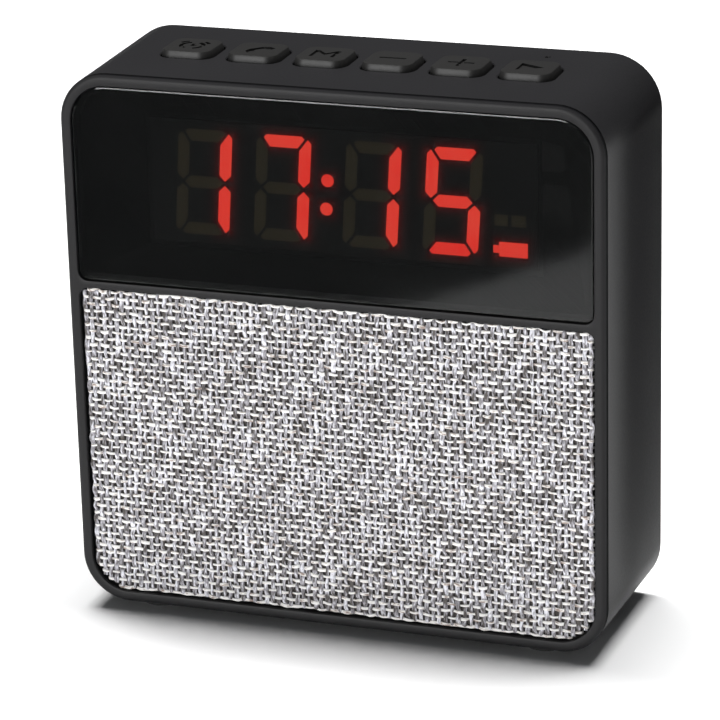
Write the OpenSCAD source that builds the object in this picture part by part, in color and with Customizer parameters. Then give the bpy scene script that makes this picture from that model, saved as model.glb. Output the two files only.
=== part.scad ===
// Desk clock radio: a front frame with a tinted LED display above a fabric speaker grille, a deep
// housing with six push keys on top, and a removable rear cover with the sockets.
// Frame: +Z up, front faces -Y, origin on the table under the middle of the body. Millimetres.

/* [Body] */
// Width of the body at its rear edge
body_w = 110; // [104:1:140]
// Height of the body at its rear edge
body_h = 110; // [108:1:140]
// Depth of the body, front rim to rear edge
body_d = 37.2; // [36.4:0.2:60]
// How much each side draws in from the rear edge to the front rim
draft = 0.9; // [0:0.1:1.5]
// Corner radius at the rear edge
corner_r = 10.4; // [8:0.1:14]
// Rounding of the front rim's outer edge
edge_r = 1; // [0.4:0.1:1.2]
// Wall thickness of the housing and the rear cover
wall = 2; // [1.6:0.1:2.4]
// Height of the body above the table
foot_stand = 0.8; // [0.5:0.1:2]
// Diameter of a rubber foot
foot_d = 9; // [6:0.5:12]

/* [Front] */
// Width of the rim around the openings
rim = 2.2; // [1.6:0.1:4]
// Width of the bar between display and grille
divider = 1.5; // [1.2:0.1:4]
// Height of the display opening
display_h = 39.2; // [36:0.2:44]
// Depth of the fabric below the rim
recess = 0.7; // [0.3:0.1:1.2]
// Depth of the display lens below the rim
lens_recess = 0.3; // [0.2:0.1:0.8]
// Thickness of the display lens
lens_t = 2.2; // [1.4:0.1:2.8]
// Thickness of the adhesive tape behind the lens
tape_t = 0.4; // [0.2:0.1:0.6]
// Thickness of the grille fabric
fabric_t = 0.7; // [0.4:0.1:1]
// Gap around lens and fabric in their recesses
panel_gap = 0.3; // [0.1:0.05:0.5]

/* [Digits] */
// Height of a digit
digit_h = 20.85; // [16:0.05:22]
// Lean of the digits in degrees
digit_lean = 4; // [0:1:8]
// Width of a lit segment
segment_w = 2.35; // [1.6:0.05:2.6]
// Distance between the two upright segments of a digit
segment_gap_x = 8.6; // [7:0.1:9]
// Distance between digits within a pair
digit_pitch = 15.92; // [14:0.01:18]
// Distance between the two inner digits
colon_pitch = 17.91; // [15:0.01:20]
// Diameter of a colon dot
dot_d = 2.5; // [2:0.1:3.5]
// Depth of the reflector block behind the lens
reflector_d = 6; // [4:0.5:8]

/* [Keys] */
// Side of a square key
key_size = 10.4; // [9:0.1:12]
// Distance from key to key
key_pitch = 13.62; // [13.4:0.01:15]
// Corner radius of a key
key_r = 2.5; // [1:0.1:4]
// Height of the keys above the top face
key_rise = 1.2; // [0.5:0.1:2]
// Distance of the key row from the front rim
key_from_front = 19.7; // [16:0.1:24]
// Clearance around a key in its hole
key_gap = 0.35; // [0.2:0.05:0.5]
// Free fall of a key to the end of its stroke
key_travel = 0.4; // [0.2:0.05:0.6]

/* [Speaker] */
// Side of the square speaker flange
driver_w = 52; // [44:1:52]
// Opening of the speaker cone and surround
driver_open_d = 47; // [38:1:48]
// Depth of the speaker behind its flange
driver_d = 22; // [20:0.5:26]
// Outer diameter of the magnet
magnet_d = 36; // [28:1:40]
// Largest movement of the cone each way
cone_travel = 1; // [0.5:0.1:1.2]

/* [Battery] */
// Diameter of the battery cell
cell_d = 18.4; // [14:0.1:18.6]
// Length of the battery cell
cell_l = 65; // [50:0.5:70]

/* [Electronics] */
// Thickness of the circuit boards
board_t = 1.6; // [1:0.2:2]
// Width of the main board
main_w = 88; // [84:1:92]
// Bore of the audio jack
jack_bore_d = 3.6; // [3.5:0.05:3.7]
// Movement of the power switch, end to end
switch_travel = 2; // [1.5:0.5:3]

/* [Screws] */
// Diameter of the rear cover and speaker screws
big_screw_d = 2.6; // [2:0.1:3]
// Diameter of the board screws
small_screw_d = 2; // [1.6:0.1:2.4]

/* [Hidden] */
$fn = 48;

// A running fit, a gap between pieces that don't touch, how far joined shapes run into each other,
// how far cuts run past a face, and the thickness of an outline's slice
fit = 0.05;
gap = 0.3;
join = 0.2;
cut = 0.5;
film = 0.01;
big_hole_d = big_screw_d + 2 * fit;
small_hole_d = small_screw_d + 2 * fit;
plug_gap = 0.1;
window_gap = 0.2;

// Planes of the body
front_y = -body_d / 2;
rear_y = body_d / 2;
front_w = body_w - 2 * draft;
front_bottom_z = foot_stand + draft;
open_w = front_w - 2 * rim;
seat_y = front_y + lens_recess + lens_t + tape_t;
inner_y = seat_y + wall;
lip = 0.6 * wall;
rear_edge = 0.4;
half_wall = wall / 2;
frame_y = front_y + edge_r + 0.2;
seam = 0.3;
cover_inset = 0.2;
cover_y = rear_y - cover_inset - wall;

// Openings of the front
grille_z = front_bottom_z + rim;
display_top_z = foot_stand + body_h - draft - rim;
display_z = display_top_z - display_h;
grille_h = display_z - divider - grille_z;
outer_panel_r = corner_r - draft - rim;
inner_panel_r = 2;
wrap = 0.9;
grille_t = seat_y - front_y - recess - fabric_t;
plate_w = open_w - 2 * wrap;
plate_h = grille_h - 2 * wrap;
peg_d = 2.4;
grille_peg_x = open_w / 2 - 6;
grille_peg_z = [grille_z + 13, grille_z + grille_h - 8];

// Display module, measured from the display opening
digit_z = display_z + 0.535 * display_h;
colon_x = -0.95;
digit_x = [for (side = [-1, 1], i = [0, 1])
    colon_x + side * (colon_pitch / 2 + (side < 0 ? 1 - i : i) * digit_pitch)];
segment_gap_z = (digit_h - segment_w) / 2;
cut_corner = segment_w / 4;
segment_space = 0.6;
reflector_y = seat_y - tape_t + 0.1;
reflector_left = digit_x[0] - segment_gap_x / 2 - 6.3;
reflector_right = digit_x[3] + segment_gap_x / 2 + 12.2;
reflector_w = reflector_right - reflector_left;
reflector_h = digit_h + 3.4;
window_d = 1;
display_board_y = reflector_y + reflector_d;
display_board_h = reflector_h + 8.5;
display_screw_x = 30;
display_screw_z = reflector_h / 2 + 2.25;
icon_x = digit_x[3] + 8.97;
icon_w = 5.55;
led_size = [1.6, 0.8, 0.8];

// Speaker, on the middle of the grille
baffle_t = cone_travel + 1;
gasket_t = 0.5;
flange_t = 1;
speaker_z = grille_z + grille_h / 2;
gasket_y = inner_y + baffle_t;
flange_y = gasket_y + gasket_t;
speaker_end_y = flange_y + driver_d;
plate_t = 2.5;
magnet_t = 4.4;
yoke_t = 2.4;
plate_y = speaker_end_y - yoke_t - magnet_t - plate_t;
pole_r = 6.4;
coil_in_r = pole_r + 0.35;
coil_out_r = coil_in_r + 0.5;
coil_gap_r = coil_out_r + 0.35;
cone_t = 0.5;
cone_r = driver_open_d / 2 - 5;
cone_front_y = flange_y;
surround_t = 0.4;
cone_back_y = flange_y + 6.2;
spider_y = plate_y - 3.6;
speaker_screw_x = driver_w / 2 - 4;

// Shelf that closes the speaker chamber and carries the main board
shelf_t = 1.5;
shelf_z = display_z - divider - 5.1;
boss_h = 2;
main_z = shelf_z + shelf_t + boss_h;
main_top_z = main_z + board_t;
main_rear_y = cover_y - 0.8;
main_d = 25.6;
main_front_y = main_rear_y - main_d;
main_screw_x = main_w / 2 - 3;
main_screw_y = [main_front_y + 3.5, main_rear_y - 6.6];
lead_x = main_w / 2 + 4;
lead_y = 4;

// Battery, above the sockets and in front of the rear cover
cradle_wall = 1.5;
jack_h = 5;
cell_z = main_top_z + jack_h + 1.2 + cradle_wall + gap + cell_d / 2;
cell_y = cover_y - 2 - cell_d / 2;
strap_x = cell_l / 3;
plug_x = -main_w / 2 + 12;
plug_h = 4.6;

// Keys, from their top down to their board
key_y = front_y + key_from_front;
key_count = 6;
flange_over = 0.85;
key_flange_t = 1;
key_top_z = top_z(key_y) + key_rise;
key_flange_z = top_z(key_y - key_size / 2 - flange_over) - wall - gap;
switch_h = 3.4;
switch_w = 6;
switch_top_z = key_flange_z - key_flange_t - 2;
key_board_z = switch_top_z - switch_h;
stem_d = 3.2;
stem_in = 0.8;
well_d = stem_in + key_travel + 0.4;
key_board_w = 2 * key_x(5) + key_size + 12.7;
key_board_y = [key_y - 7.6, key_y + 14.6];
key_post_x = key_x(5) + 10.45;
key_screws = [[-key_post_x, key_y], [key_post_x, key_y], [-key_pitch * 1.5, key_y + 11.2],
    [key_pitch * 1.5, key_y + 11.2]];
mic_x = key_x(5);
mic_y = key_y + 11.2;
mic_d = 5;
mic_hole_d = 0.9;

// Screw posts of the rear cover and feet
post_d = 6.4;
post_x = body_w / 2 - wall - 4.5;
post_z = [foot_stand + wall + 6.7, foot_stand + body_h - 16.8];
pad_t = 2;
post_end_y = cover_y - pad_t;
foot_x = body_w / 2 - 15;
foot_y = body_d / 2 - 7.6;
foot_in = 1.2;

// Sockets on the rear edge of the main board
charge_x = -22;
charge_w = 7.5;
charge_h = 2.7;
card_x = -3;
card_w = 14;
card_h = 1.9;
jack_x = 15;
switch_x = 29;
knob_w = 1.8;
knob_z = main_top_z + 1.9;
slider_w = 3.2;

// Inward draw of the outer skin at a depth y
function skin_inset(y) = draft * (rear_y - y) / body_d;
function top_z(y) = foot_stand + body_h - skin_inset(y);
function key_x(i) = (i - 2.5) * key_pitch;

// ---- Shapes used by several pieces ----

// Rounded rectangle standing on the X axis, with its own top and bottom radii
module rounded(w, h, top_r, bottom_r) {
    translate([-w / 2, bottom_r]) square([w, h - bottom_r - top_r]);
    translate([-w / 2 + bottom_r, 0]) square([w - 2 * bottom_r, bottom_r + film]);
    translate([-w / 2 + top_r, h - top_r - film]) square([w - 2 * top_r, top_r + film]);
    for (side = [-1, 1]) {
        translate([side * (w / 2 - bottom_r), bottom_r]) circle(bottom_r);
        translate([side * (w / 2 - top_r), h - top_r]) circle(top_r);
    }
}

// Upright panel: front face at y, bottom edge at z
module panel(w, h, t, y, z, top_r, bottom_r) {
    translate([0, y + t, z]) rotate([90, 0, 0]) linear_extrude(t) rounded(w, h, top_r, bottom_r);
}

// Thin slice of the body's outline at a depth y, drawn in by some amount
module slice(y, inset) {
    total = skin_inset(y) + inset;
    radius = corner_r - total;
    panel(body_w - 2 * total, body_h - 2 * total, film, y, foot_stand + total, radius,
        radius, $fn = 32);
}

// Cylinder along +Y from y0 to y1
module rod(x, z, y0, y1, d) {
    translate([x, y0, z]) rotate([-90, 0, 0]) cylinder(d = d, h = y1 - y0);
}

// Ring around the speaker axis, from y0 to y1
module ring(y0, y1, outer_r, inner_r) {
    translate([0, y0, speaker_z]) rotate([-90, 0, 0]) difference() {
        cylinder(r = outer_r, h = y1 - y0);
        translate([0, 0, -cut]) cylinder(r = inner_r, h = y1 - y0 + 2 * cut);
    }
}

// Profile of radius and depth, turned around the speaker axis
module turned() {
    translate([0, 0, speaker_z]) rotate([-90, 0, 0]) rotate_extrude() children();
}

// Cross-head screw: seat at the origin, head up, shank down
module screw(d, shank) {
    head_h = 0.65 * d;
    difference() {
        union() {
            cylinder(d = 1.8 * d, h = head_h);
            translate([0, 0, -shank]) cylinder(d = d, h = shank + 0.1);
        }
        for (turn = [0, 90]) rotate([0, 0, turn])
            translate([-0.6 * d, -0.13 * d, head_h / 2]) cube([1.2 * d, 0.26 * d, head_h]);
    }
}

// Round wire through a list of points, none of whose stretches runs along the side vector
module wire(points, d, side) {
    sides = 8;
    last = len(points) - 1;
    tangents = [for (i = [0:last]) unit(points[min(i + 1, last)] - points[max(i - 1, 0)])];
    rings = [for (i = [0:last]) let (a = unit(cross(tangents[i], side)), b = cross(tangents[i], a))
        [for (k = [0:sides - 1]) points[i] + d / 2 * (cos(k * 360 / sides) * a + sin(k * 360 / sides) * b)]];
    polyhedron(
        points = [for (r = rings) for (p = r) p],
        faces = concat(
            [[for (k = [0:sides - 1]) k]],
            [for (i = [0:last - 1]) for (k = [0:sides - 1]) let (n = (k + 1) % sides)
                [i * sides + k, (i + 1) * sides + k, (i + 1) * sides + n, i * sides + n]],
            [[for (k = [sides - 1:-1:0]) last * sides + k]]
        )
    );
}
function unit(v) = v / norm(v);

// ---- Body ----

// Front frame: rounded rim and divider bar, wall behind the lens and the grille, baffle pad for the
// speaker, bosses for the display board, and the long posts that the rear cover is screwed to
module front_frame() {
    color("#232324") difference() {
        union() {
            hull() {
                for (a = [0:22.5:90]) slice(front_y + edge_r * (1 - sin(a)), edge_r * (1 - cos(a)));
                slice(frame_y - film, frame_y - front_y - edge_r);
            }
            frame_plug();
            baffle_pad();
            for (x = [-post_x, post_x], z = post_z) rod(x, z, inner_y - join, post_end_y, post_d);
            display_bosses(inner_y - join, display_board_y, 4);
        }
        front_openings();
        rod(0, speaker_z, seat_y - cut, gasket_y + cut, driver_open_d);
        for (x = [-post_x, post_x], z = post_z) rod(x, z, post_end_y - 9, post_end_y + cut, big_hole_d);
        display_bosses(display_board_y - 4.5, display_board_y + cut, small_hole_d);
        speaker_holes(seat_y + 0.8, gasket_y + cut, big_hole_d);
    }
}

// Part of the frame that sits inside the housing's front edge
module frame_plug() {
    inset = skin_inset(frame_y) + half_wall + plug_gap;
    radius = corner_r - inset;
    panel(body_w - 2 * inset, body_h - 2 * inset, inner_y - frame_y + join, frame_y - join,
        foot_stand + inset, radius, radius);
}

// Recesses for lens and grille, the window for the display module and holes for the grille's pegs
module front_openings() {
    depth = seat_y - front_y + cut;
    panel(open_w, display_h, depth, front_y - cut, display_z, outer_panel_r, inner_panel_r);
    panel(open_w, grille_h, depth, front_y - cut, grille_z, inner_panel_r, outer_panel_r);
    translate([reflector_left - window_gap, seat_y - cut, digit_z - reflector_h / 2 - window_gap])
        cube([reflector_w + 2 * window_gap, wall + 2 * cut, reflector_h + 2 * window_gap]);
    for (x = [-grille_peg_x, grille_peg_x], z = grille_peg_z)
        rod(x, z, seat_y - cut, inner_y + cut, peg_d + 2 * fit);
}

// Thick square pad that the speaker is screwed to
module baffle_pad() {
    pad = driver_w + 3;
    translate([-pad / 2, inner_y - join, speaker_z - driver_w / 2])
        cube([pad, baffle_t + join, driver_w]);
}

module display_bosses(y0, y1, d) {
    for (x = [-display_screw_x, display_screw_x], side = [-1, 1])
        rod(x, digit_z + side * display_screw_z, y0, y1, d);
}

// Deep shell between the frame and the rear cover, with its shelf and the key board's posts
module housing() {
    color("#232324") difference() {
        union() {
            difference() {
                hull() {
                    slice(frame_y, seam);
                    slice(frame_y + seam, 0);
                    slice(rear_y - rear_edge - film, 0);
                    slice(rear_y - film, rear_edge);
                }
                hull() {
                    slice(frame_y - cut, half_wall);
                    slice(inner_y, half_wall);
                }
                hull() {
                    slice(inner_y - film, wall);
                    slice(rear_y + cut, wall);
                }
            }
            shelf();
            for (p = key_screws)
                translate([p.x, p.y, key_board_z])
                    cylinder(d = 4.4, h = top_z(p.y) - wall + cut - key_board_z);
        }
        cover_seat();
        key_holes();
        for (x = [-main_screw_x, main_screw_x], y = main_screw_y)
            translate([x, y, main_z - 3]) cylinder(d = small_hole_d, h = 3 + cut);
        for (p = key_screws)
            translate([p.x, p.y, key_board_z - cut]) cylinder(d = small_hole_d, h = 4 + cut);
        for (x = [-foot_x, foot_x], y = [-foot_y, foot_y])
            translate([x, y, -cut]) cylinder(d = foot_d + 2 * fit, h = foot_stand + foot_in + cut);
    }
}

module shelf() {
    shelf_w = body_w - 2 * skin_inset(inner_y) - 2 * wall + 1;
    difference() {
        translate([-shelf_w / 2, inner_y, shelf_z]) cube([shelf_w, cover_y - gap - inner_y, shelf_t]);
        translate([lead_x, lead_y, shelf_z - cut]) cylinder(d = 5, h = shelf_t + 2 * cut);
    }
    for (x = [-main_screw_x, main_screw_x], y = main_screw_y)
        translate([x, y, shelf_z + shelf_t - join]) cylinder(d = 5, h = boss_h + join);
}

// Straight-sided seat for the rear cover
module cover_seat() {
    panel(body_w - 2 * lip, body_h - 2 * lip, body_d, cover_y, foot_stand + lip,
        corner_r - lip, corner_r - lip);
}

module key_holes() {
    hole = key_size + 2 * key_gap;
    for (i = [0:key_count - 1])
        translate([key_x(i), key_y - hole / 2, top_z(key_y) - 2 * wall])
            linear_extrude(4 * wall) rounded(hole, hole, key_r + key_gap, key_r + key_gap);
    translate([mic_x, mic_y, top_z(mic_y) - 2 * wall]) cylinder(d = mic_hole_d, h = 4 * wall);
}

// Flat cover let into the rear, with thick pads at its screws and holes for the sockets
module rear_cover() {
    w = body_w - 2 * lip - 2 * panel_gap;
    h = body_h - 2 * lip - 2 * panel_gap;
    r = corner_r - lip - panel_gap;
    color("#1c1c1d") difference() {
        union() {
            panel(w, h, wall, cover_y, foot_stand + lip + panel_gap, r, r);
            for (x = [-post_x, post_x], z = post_z) rod(x, z, post_end_y, cover_y + join, post_d + 1);
        }
        for (x = [-post_x, post_x], z = post_z) {
            rod(x, z, post_end_y - cut, rear_y, big_screw_d + 0.5);
            rod(x, z, cover_y + 0.1, rear_y, 2 * big_screw_d);
        }
        socket_cut(charge_x, 8.4, charge_h + 1, main_top_z - 0.5);
        socket_cut(card_x, card_w + 0.6, card_h + 0.6, main_top_z - 0.3);
        socket_cut(switch_x, switch_travel + knob_w + 0.6, knob_w + 0.8, knob_z - knob_w / 2 - 0.4);
        rod(jack_x, main_top_z + jack_h / 2, cover_y - cut, rear_y, jack_h + 0.6);
    }
}

module socket_cut(x, w, h, z) {
    translate([x - w / 2, cover_y - cut, z]) cube([w, wall + 2 * cut, h]);
}

module cover_screws() {
    color("#3a3a3c") for (x = [-post_x, post_x], z = post_z)
        translate([x, cover_y + 0.1, z]) rotate([-90, 0, 0]) screw(big_screw_d, pad_t + 8);
}

module feet() {
    color("#101010") for (x = [-foot_x, foot_x], y = [-foot_y, foot_y])
        translate([x, y, 0]) cylinder(d = foot_d, h = foot_stand + foot_in);
}

// ---- Front panels ----

module display_lens() {
    color("#08080a") panel(open_w - 2 * panel_gap, display_h - 2 * panel_gap, lens_t,
        front_y + lens_recess, display_z + panel_gap, outer_panel_r - panel_gap, inner_panel_r - panel_gap);
}

// Frame of adhesive tape, open over the display module
module lens_tape() {
    y = front_y + lens_recess + lens_t;
    color("#161616") difference() {
        panel(open_w - 2, display_h - 2, tape_t, y, display_z + 1, outer_panel_r - 1, inner_panel_r - 1);
        translate([reflector_left - 1, y - cut, digit_z - reflector_h / 2 - 1])
            cube([reflector_w + 2, tape_t + 2 * cut, reflector_h + 2]);
    }
}

// Perforated plate under the fabric, with four pegs into the front wall
module grille_plate() {
    y = front_y + recess + fabric_t;
    pitch = 4.2;
    hole = 2.6;
    rows = floor(driver_open_d / 2 / pitch / 0.866);
    color("#1f1f20") difference() {
        union() {
            panel(plate_w, plate_h, grille_t, y, grille_z + wrap, inner_panel_r - wrap, outer_panel_r - wrap);
            for (x = [-grille_peg_x, grille_peg_x], z = grille_peg_z)
                rod(x, z, seat_y - join, inner_y + 1, peg_d);
        }
        for (row = [-rows:rows], i = [-rows - 1:rows + 1]) {
            x = (i + (row % 2 == 0 ? 0 : 0.5)) * pitch;
            z = row * pitch * 0.866;
            if (norm([x, z]) < driver_open_d / 2 - hole / 2)
                rod(x, speaker_z + z, y - cut, seat_y + cut, hole);
        }
    }
}

// Cloth laid over the plate and folded around its edges
module grille_fabric() {
    y = front_y + recess;
    color("#8d8c8d") difference() {
        panel(open_w - 2 * panel_gap, grille_h - 2 * panel_gap, seat_y - y, y, grille_z + panel_gap,
            inner_panel_r - panel_gap, outer_panel_r - panel_gap);
        panel(plate_w, plate_h, grille_t + cut, y + fabric_t, grille_z + wrap,
            inner_panel_r - wrap, outer_panel_r - wrap);
    }
}

// ---- Display module ----

// Outline of one segment, "a" to "g", around the middle of its digit
function lean(points) = [for (p = points) [p.x + p.y * tan(digit_lean), p.y]];
function flip_x(points) = [for (p = points) [-p.x, p.y]];
function flip_z(points) = [for (p = points) [p.x, -p.y]];
function top_segment() = let (top = digit_h / 2, low = top - segment_w, half = segment_gap_x / 2)
    [[-half + 0.8, top], [half - 0.8, top], [half - 0.225, top - cut_corner], [half - 1.55, low],
    [-half + 1.55, low], [-half + 0.225, top - cut_corner]];
function side_segment() = let (top = digit_h / 2, x = segment_gap_x / 2, s = segment_w / 2)
    [[x, segment_space * 0.7], [x + s, segment_space * 0.7 + s], [x + s, top - 1.4],
    [x + 0.45, top - segment_space], [x - s, top - segment_w - 0.5], [x - s, segment_space * 0.7 + s]];
function mid_segment() = let (tip = segment_gap_x / 2 - segment_space * 0.7, s = segment_w / 2)
    [[-tip, 0], [-tip + s, s], [tip - s, s], [tip, 0], [tip - s, -s], [-tip + s, -s]];
segments = [top_segment(), side_segment(), flip_z(side_segment()), flip_z(top_segment()),
    flip_x(flip_z(side_segment())), flip_x(side_segment()), mid_segment()];

// Prism with a segment's outline, from depth y0 to y1
module segment(outline, y0, y1) {
    translate([0, y1, digit_z]) rotate([90, 0, 0]) linear_extrude(y1 - y0) polygon(lean(outline));
}

module digit(i, y0, y1) {
    translate([digit_x[i], 0, 0]) for (outline = segments) segment(outline, y0, y1);
}

module colon(y0, y1) {
    for (z = [-2.8, 2.8]) rod(colon_x + z * tan(digit_lean), digit_z - 0.6 + z, y0, y1, dot_d);
}

// Battery outline, full and low
module icons(y0, y1) {
    translate([icon_x, y0, digit_z - 9.9]) {
        cube([icon_w, y1 - y0, 2.85]);
        translate([-1.15, 0, 0.65]) cube([1.2, y1 - y0, 1.5]);
    }
    translate([icon_x - 0.85, y0, digit_z - 3.95]) cube([2.6, y1 - y0, 2.2]);
    translate([icon_x + 2.45, y0, digit_z - 3.95]) cube([2.8, y1 - y0, 2.2]);
}

module display_reflector() {
    color("#141414") difference() {
        translate([reflector_left, reflector_y, digit_z - reflector_h / 2])
            cube([reflector_w, reflector_d, reflector_h]);
        for (i = [0:3]) digit(i, reflector_y - cut, display_board_y + cut);
        colon(reflector_y - cut, display_board_y + cut);
        icons(reflector_y - cut, display_board_y + cut);
    }
}

module window_digit(i) {
    color("#e03428") digit(i, reflector_y, reflector_y + window_d);
}

module colon_dots() {
    color("#e03428") colon(reflector_y, reflector_y + window_d);
}

module status_icons() {
    color("#e03428") icons(reflector_y, reflector_y + window_d);
}

// One light source behind each window, soldered to the display board
module display_leds() {
    color("#e8e2c8") {
        for (i = [0:3]) translate([digit_x[i], 0, 0]) {
            for (z = [-1, 0, 1]) led(z * (digit_h - segment_w) / 2 * tan(digit_lean), z * segment_gap_z);
            for (x = [-1, 1], z = [-0.5, 0.5])
                led(x * segment_gap_x / 2 + z * segment_gap_z * tan(digit_lean), z * segment_gap_z);
        }
        for (z = [-2.8, 2.8]) led(colon_x + z * tan(digit_lean), z - 0.6);
        led(icon_x + icon_w / 2, -9.9 + 1.42);
        led(icon_x + icon_w - 1.8, -3.95 + 1.1);
        led(icon_x + 0.45, -3.95 + 1.1);
    }
}

module led(x, z) {
    translate([x - led_size.x / 2, display_board_y - led_size.y, digit_z + z - led_size.z / 2])
        cube(led_size);
}

module display_board() {
    color("#1d4a2c") difference() {
        translate([reflector_left - 2, display_board_y, digit_z - display_board_h / 2])
            cube([reflector_w + 4, board_t, display_board_h]);
        display_bosses(display_board_y - cut, display_board_y + board_t + cut, small_screw_d + 0.4);
    }
}

module display_driver() {
    y = display_board_y + board_t;
    color("#151517") translate([-5, y, digit_z + 4]) cube([10, 1.6, 7.5]);
}

module display_screws() {
    color("#9a9a9c") for (x = [-display_screw_x, display_screw_x], side = [-1, 1])
        translate([x, display_board_y + board_t, digit_z + side * display_screw_z])
            rotate([-90, 0, 0]) screw(small_screw_d, board_t + 4);
}

// ---- Speaker ----

module speaker_holes(y0, y1, d) {
    for (x = [-speaker_screw_x, speaker_screw_x], z = [-speaker_screw_x, speaker_screw_x])
        rod(x, speaker_z + z, y0, y1, d);
}

module speaker_gasket() {
    color("#2a2a2a") difference() {
        panel(driver_w, driver_w, gasket_t, gasket_y, speaker_z - driver_w / 2, 6, 6);
        rod(0, speaker_z, gasket_y - cut, flange_y + cut, driver_open_d);
        speaker_holes(gasket_y - cut, flange_y + cut, big_screw_d + 0.4);
    }
}

// Pressed steel frame with a square flange and four side windows
module speaker_basket() {
    rim_r = driver_open_d / 2;
    seat_r = rim_r - 5.5;
    color("#5b5d60") difference() {
        union() {
            difference() {
                panel(driver_w, driver_w, flange_t, flange_y, speaker_z - driver_w / 2, 6, 6);
                rod(0, speaker_z, flange_y - cut, flange_y + flange_t + cut, 2 * rim_r - 1.6);
            }
            turned() polygon([[rim_r - 0.8, flange_y], [rim_r + 0.4, flange_y], [rim_r + 0.4, spider_y - 1],
                [seat_r + 0.8, spider_y + 0.8], [seat_r + 0.8, plate_y], [coil_gap_r + 1, plate_y],
                [coil_gap_r + 1, plate_y - 0.9], [seat_r - 0.2, plate_y - 0.9],
                [seat_r - 0.2, spider_y + 0.9], [seat_r - 1.6, spider_y + 0.9],
                [seat_r - 1.6, spider_y + 0.3], [seat_r - 0.2, spider_y],
                [rim_r - 0.8, spider_y - 1.6]]);
        }
        for (turn = [45:90:315]) translate([0, (flange_y + spider_y) / 2, speaker_z]) rotate([0, turn, 0])
            translate([-5, -2.2, 10]) cube([10, 4.4, rim_r]);
        speaker_holes(flange_y - cut, flange_y + flange_t + cut, big_screw_d + 0.4);
    }
}

module speaker_top_plate() {
    color("#8f9194") ring(plate_y, plate_y + plate_t, magnet_d / 2 - 3, coil_gap_r);
}

module speaker_magnet() {
    color("#2e2e30") ring(plate_y + plate_t, plate_y + plate_t + magnet_t, magnet_d / 2, coil_gap_r + 1);
}

// Back plate with the pole that stands inside the voice coil
module speaker_yoke() {
    y = plate_y + plate_t + magnet_t;
    color("#8f9194") {
        rod(0, speaker_z, y, y + yoke_t, magnet_d - 6);
        rod(0, speaker_z, plate_y, y + 0.1, 2 * pole_r);
    }
}

module voice_coil() {
    color("#b06a38") ring(cone_back_y - 0.8, plate_y + plate_t + 0.6, coil_out_r, coil_in_r);
}

// Paper cone, glued to the coil's former
module speaker_cone() {
    color("#1b1b1c") turned() polygon([[coil_out_r, cone_back_y], [cone_r - 0.8, cone_front_y],
        [cone_r, cone_front_y], [cone_r, cone_front_y + cone_t], [coil_out_r, cone_back_y + cone_t + 0.2]]);
}

module dust_cap() {
    y = cone_back_y - 0.8;
    color("#222224") turned() polygon([[coil_in_r + 0.25, y], [coil_in_r + 0.25, y - 0.4], [5.6, y - 1.6],
        [3, y - 2.4], [0, y - 2.7], [0, y - 2.2], [3, y - 1.9], [5.3, y - 1.1], [coil_in_r - 0.5, y]]);
}

// Rubber half roll between cone and flange
module speaker_surround() {
    outer_r = driver_open_d / 2 - 0.1;
    mid_r = (cone_r + outer_r) / 2;
    roll_r = 1.6;
    y = flange_y - surround_t;
    color("#141415") turned() difference() {
        union() {
            translate([mid_r, flange_y]) circle(roll_r);
            translate([cone_r - 0.7, y]) square([outer_r - cone_r + 0.7, surround_t]);
        }
        translate([mid_r, flange_y]) circle(roll_r - surround_t);
        translate([mid_r - roll_r, flange_y]) square(2 * roll_r);
    }
}

// Corrugated cloth disc that centres the coil
module speaker_spider() {
    inner = coil_out_r;
    outer = driver_open_d / 2 - 7.1;
    waves = 3;
    step = (outer - inner) / (4 * waves);
    steps = [0:4 * waves];
    color("#a0722f") turned() polygon(concat(
        [for (i = steps) [inner + i * step, spider_y + 0.9 + 0.7 * sin(i * 90)]],
        [for (i = [4 * waves:-1:0]) [inner + i * step, spider_y + 1.25 + 0.7 * sin(i * 90)]]));
}

// Solder strip on the side of the basket
module speaker_terminals() {
    color("#9c7a3c") translate([driver_open_d / 2 + 0.4, flange_y + flange_t + 1, speaker_z - 4]) {
        cube([0.8, 7, 8]);
        for (z = [1, 5]) translate([0.8, 3, z]) cube([1.6, 3, 2]);
    }
}

module speaker_screws() {
    color("#3a3a3c") for (x = [-speaker_screw_x, speaker_screw_x], z = [-speaker_screw_x, speaker_screw_x])
        translate([x, flange_y + flange_t, speaker_z + z]) rotate([-90, 0, 0])
            screw(big_screw_d, flange_t + gasket_t + baffle_t + 0.8);
}

// Two leads from the terminals, through the shelf, to the main board
module speaker_leads() {
    x0 = driver_open_d / 2 + 3.2;
    y0 = flange_y + flange_t + 5.5;
    color("#8c1f1c") for (i = [0, 1]) {
        side = i == 0 ? 0.8 : -0.8;
        wire([[x0, y0, speaker_z - 2 + 4 * i], [x0 + 5, y0 + 1.5, speaker_z - 1 + 4 * i],
            [lead_x - 3, y0 + 5.7, speaker_z + 4 + 4 * i], [lead_x + side, lead_y - 0.4, speaker_z + 14],
            [lead_x + side, lead_y, shelf_z + 0.6], [lead_x + side, lead_y, shelf_z + 5],
            [lead_x - 2, lead_y + side, main_top_z + 3],
            [main_w / 2 - 3, lead_y + 2 * side, main_top_z + 2.6],
            [main_w / 2 - 6, lead_y + 2 * side, main_top_z + 0.6]], 1.1, [0, 1, 0]);
    }
}

// ---- Main board ----

module main_board() {
    color("#1d4a2c") difference() {
        translate([-main_w / 2, main_front_y, main_z]) cube([main_w, main_d, board_t]);
        for (x = [-main_screw_x, main_screw_x], y = main_screw_y)
            translate([x, y, main_z - cut]) cylinder(d = small_screw_d + 0.4, h = board_t + 2 * cut);
    }
}

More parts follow.
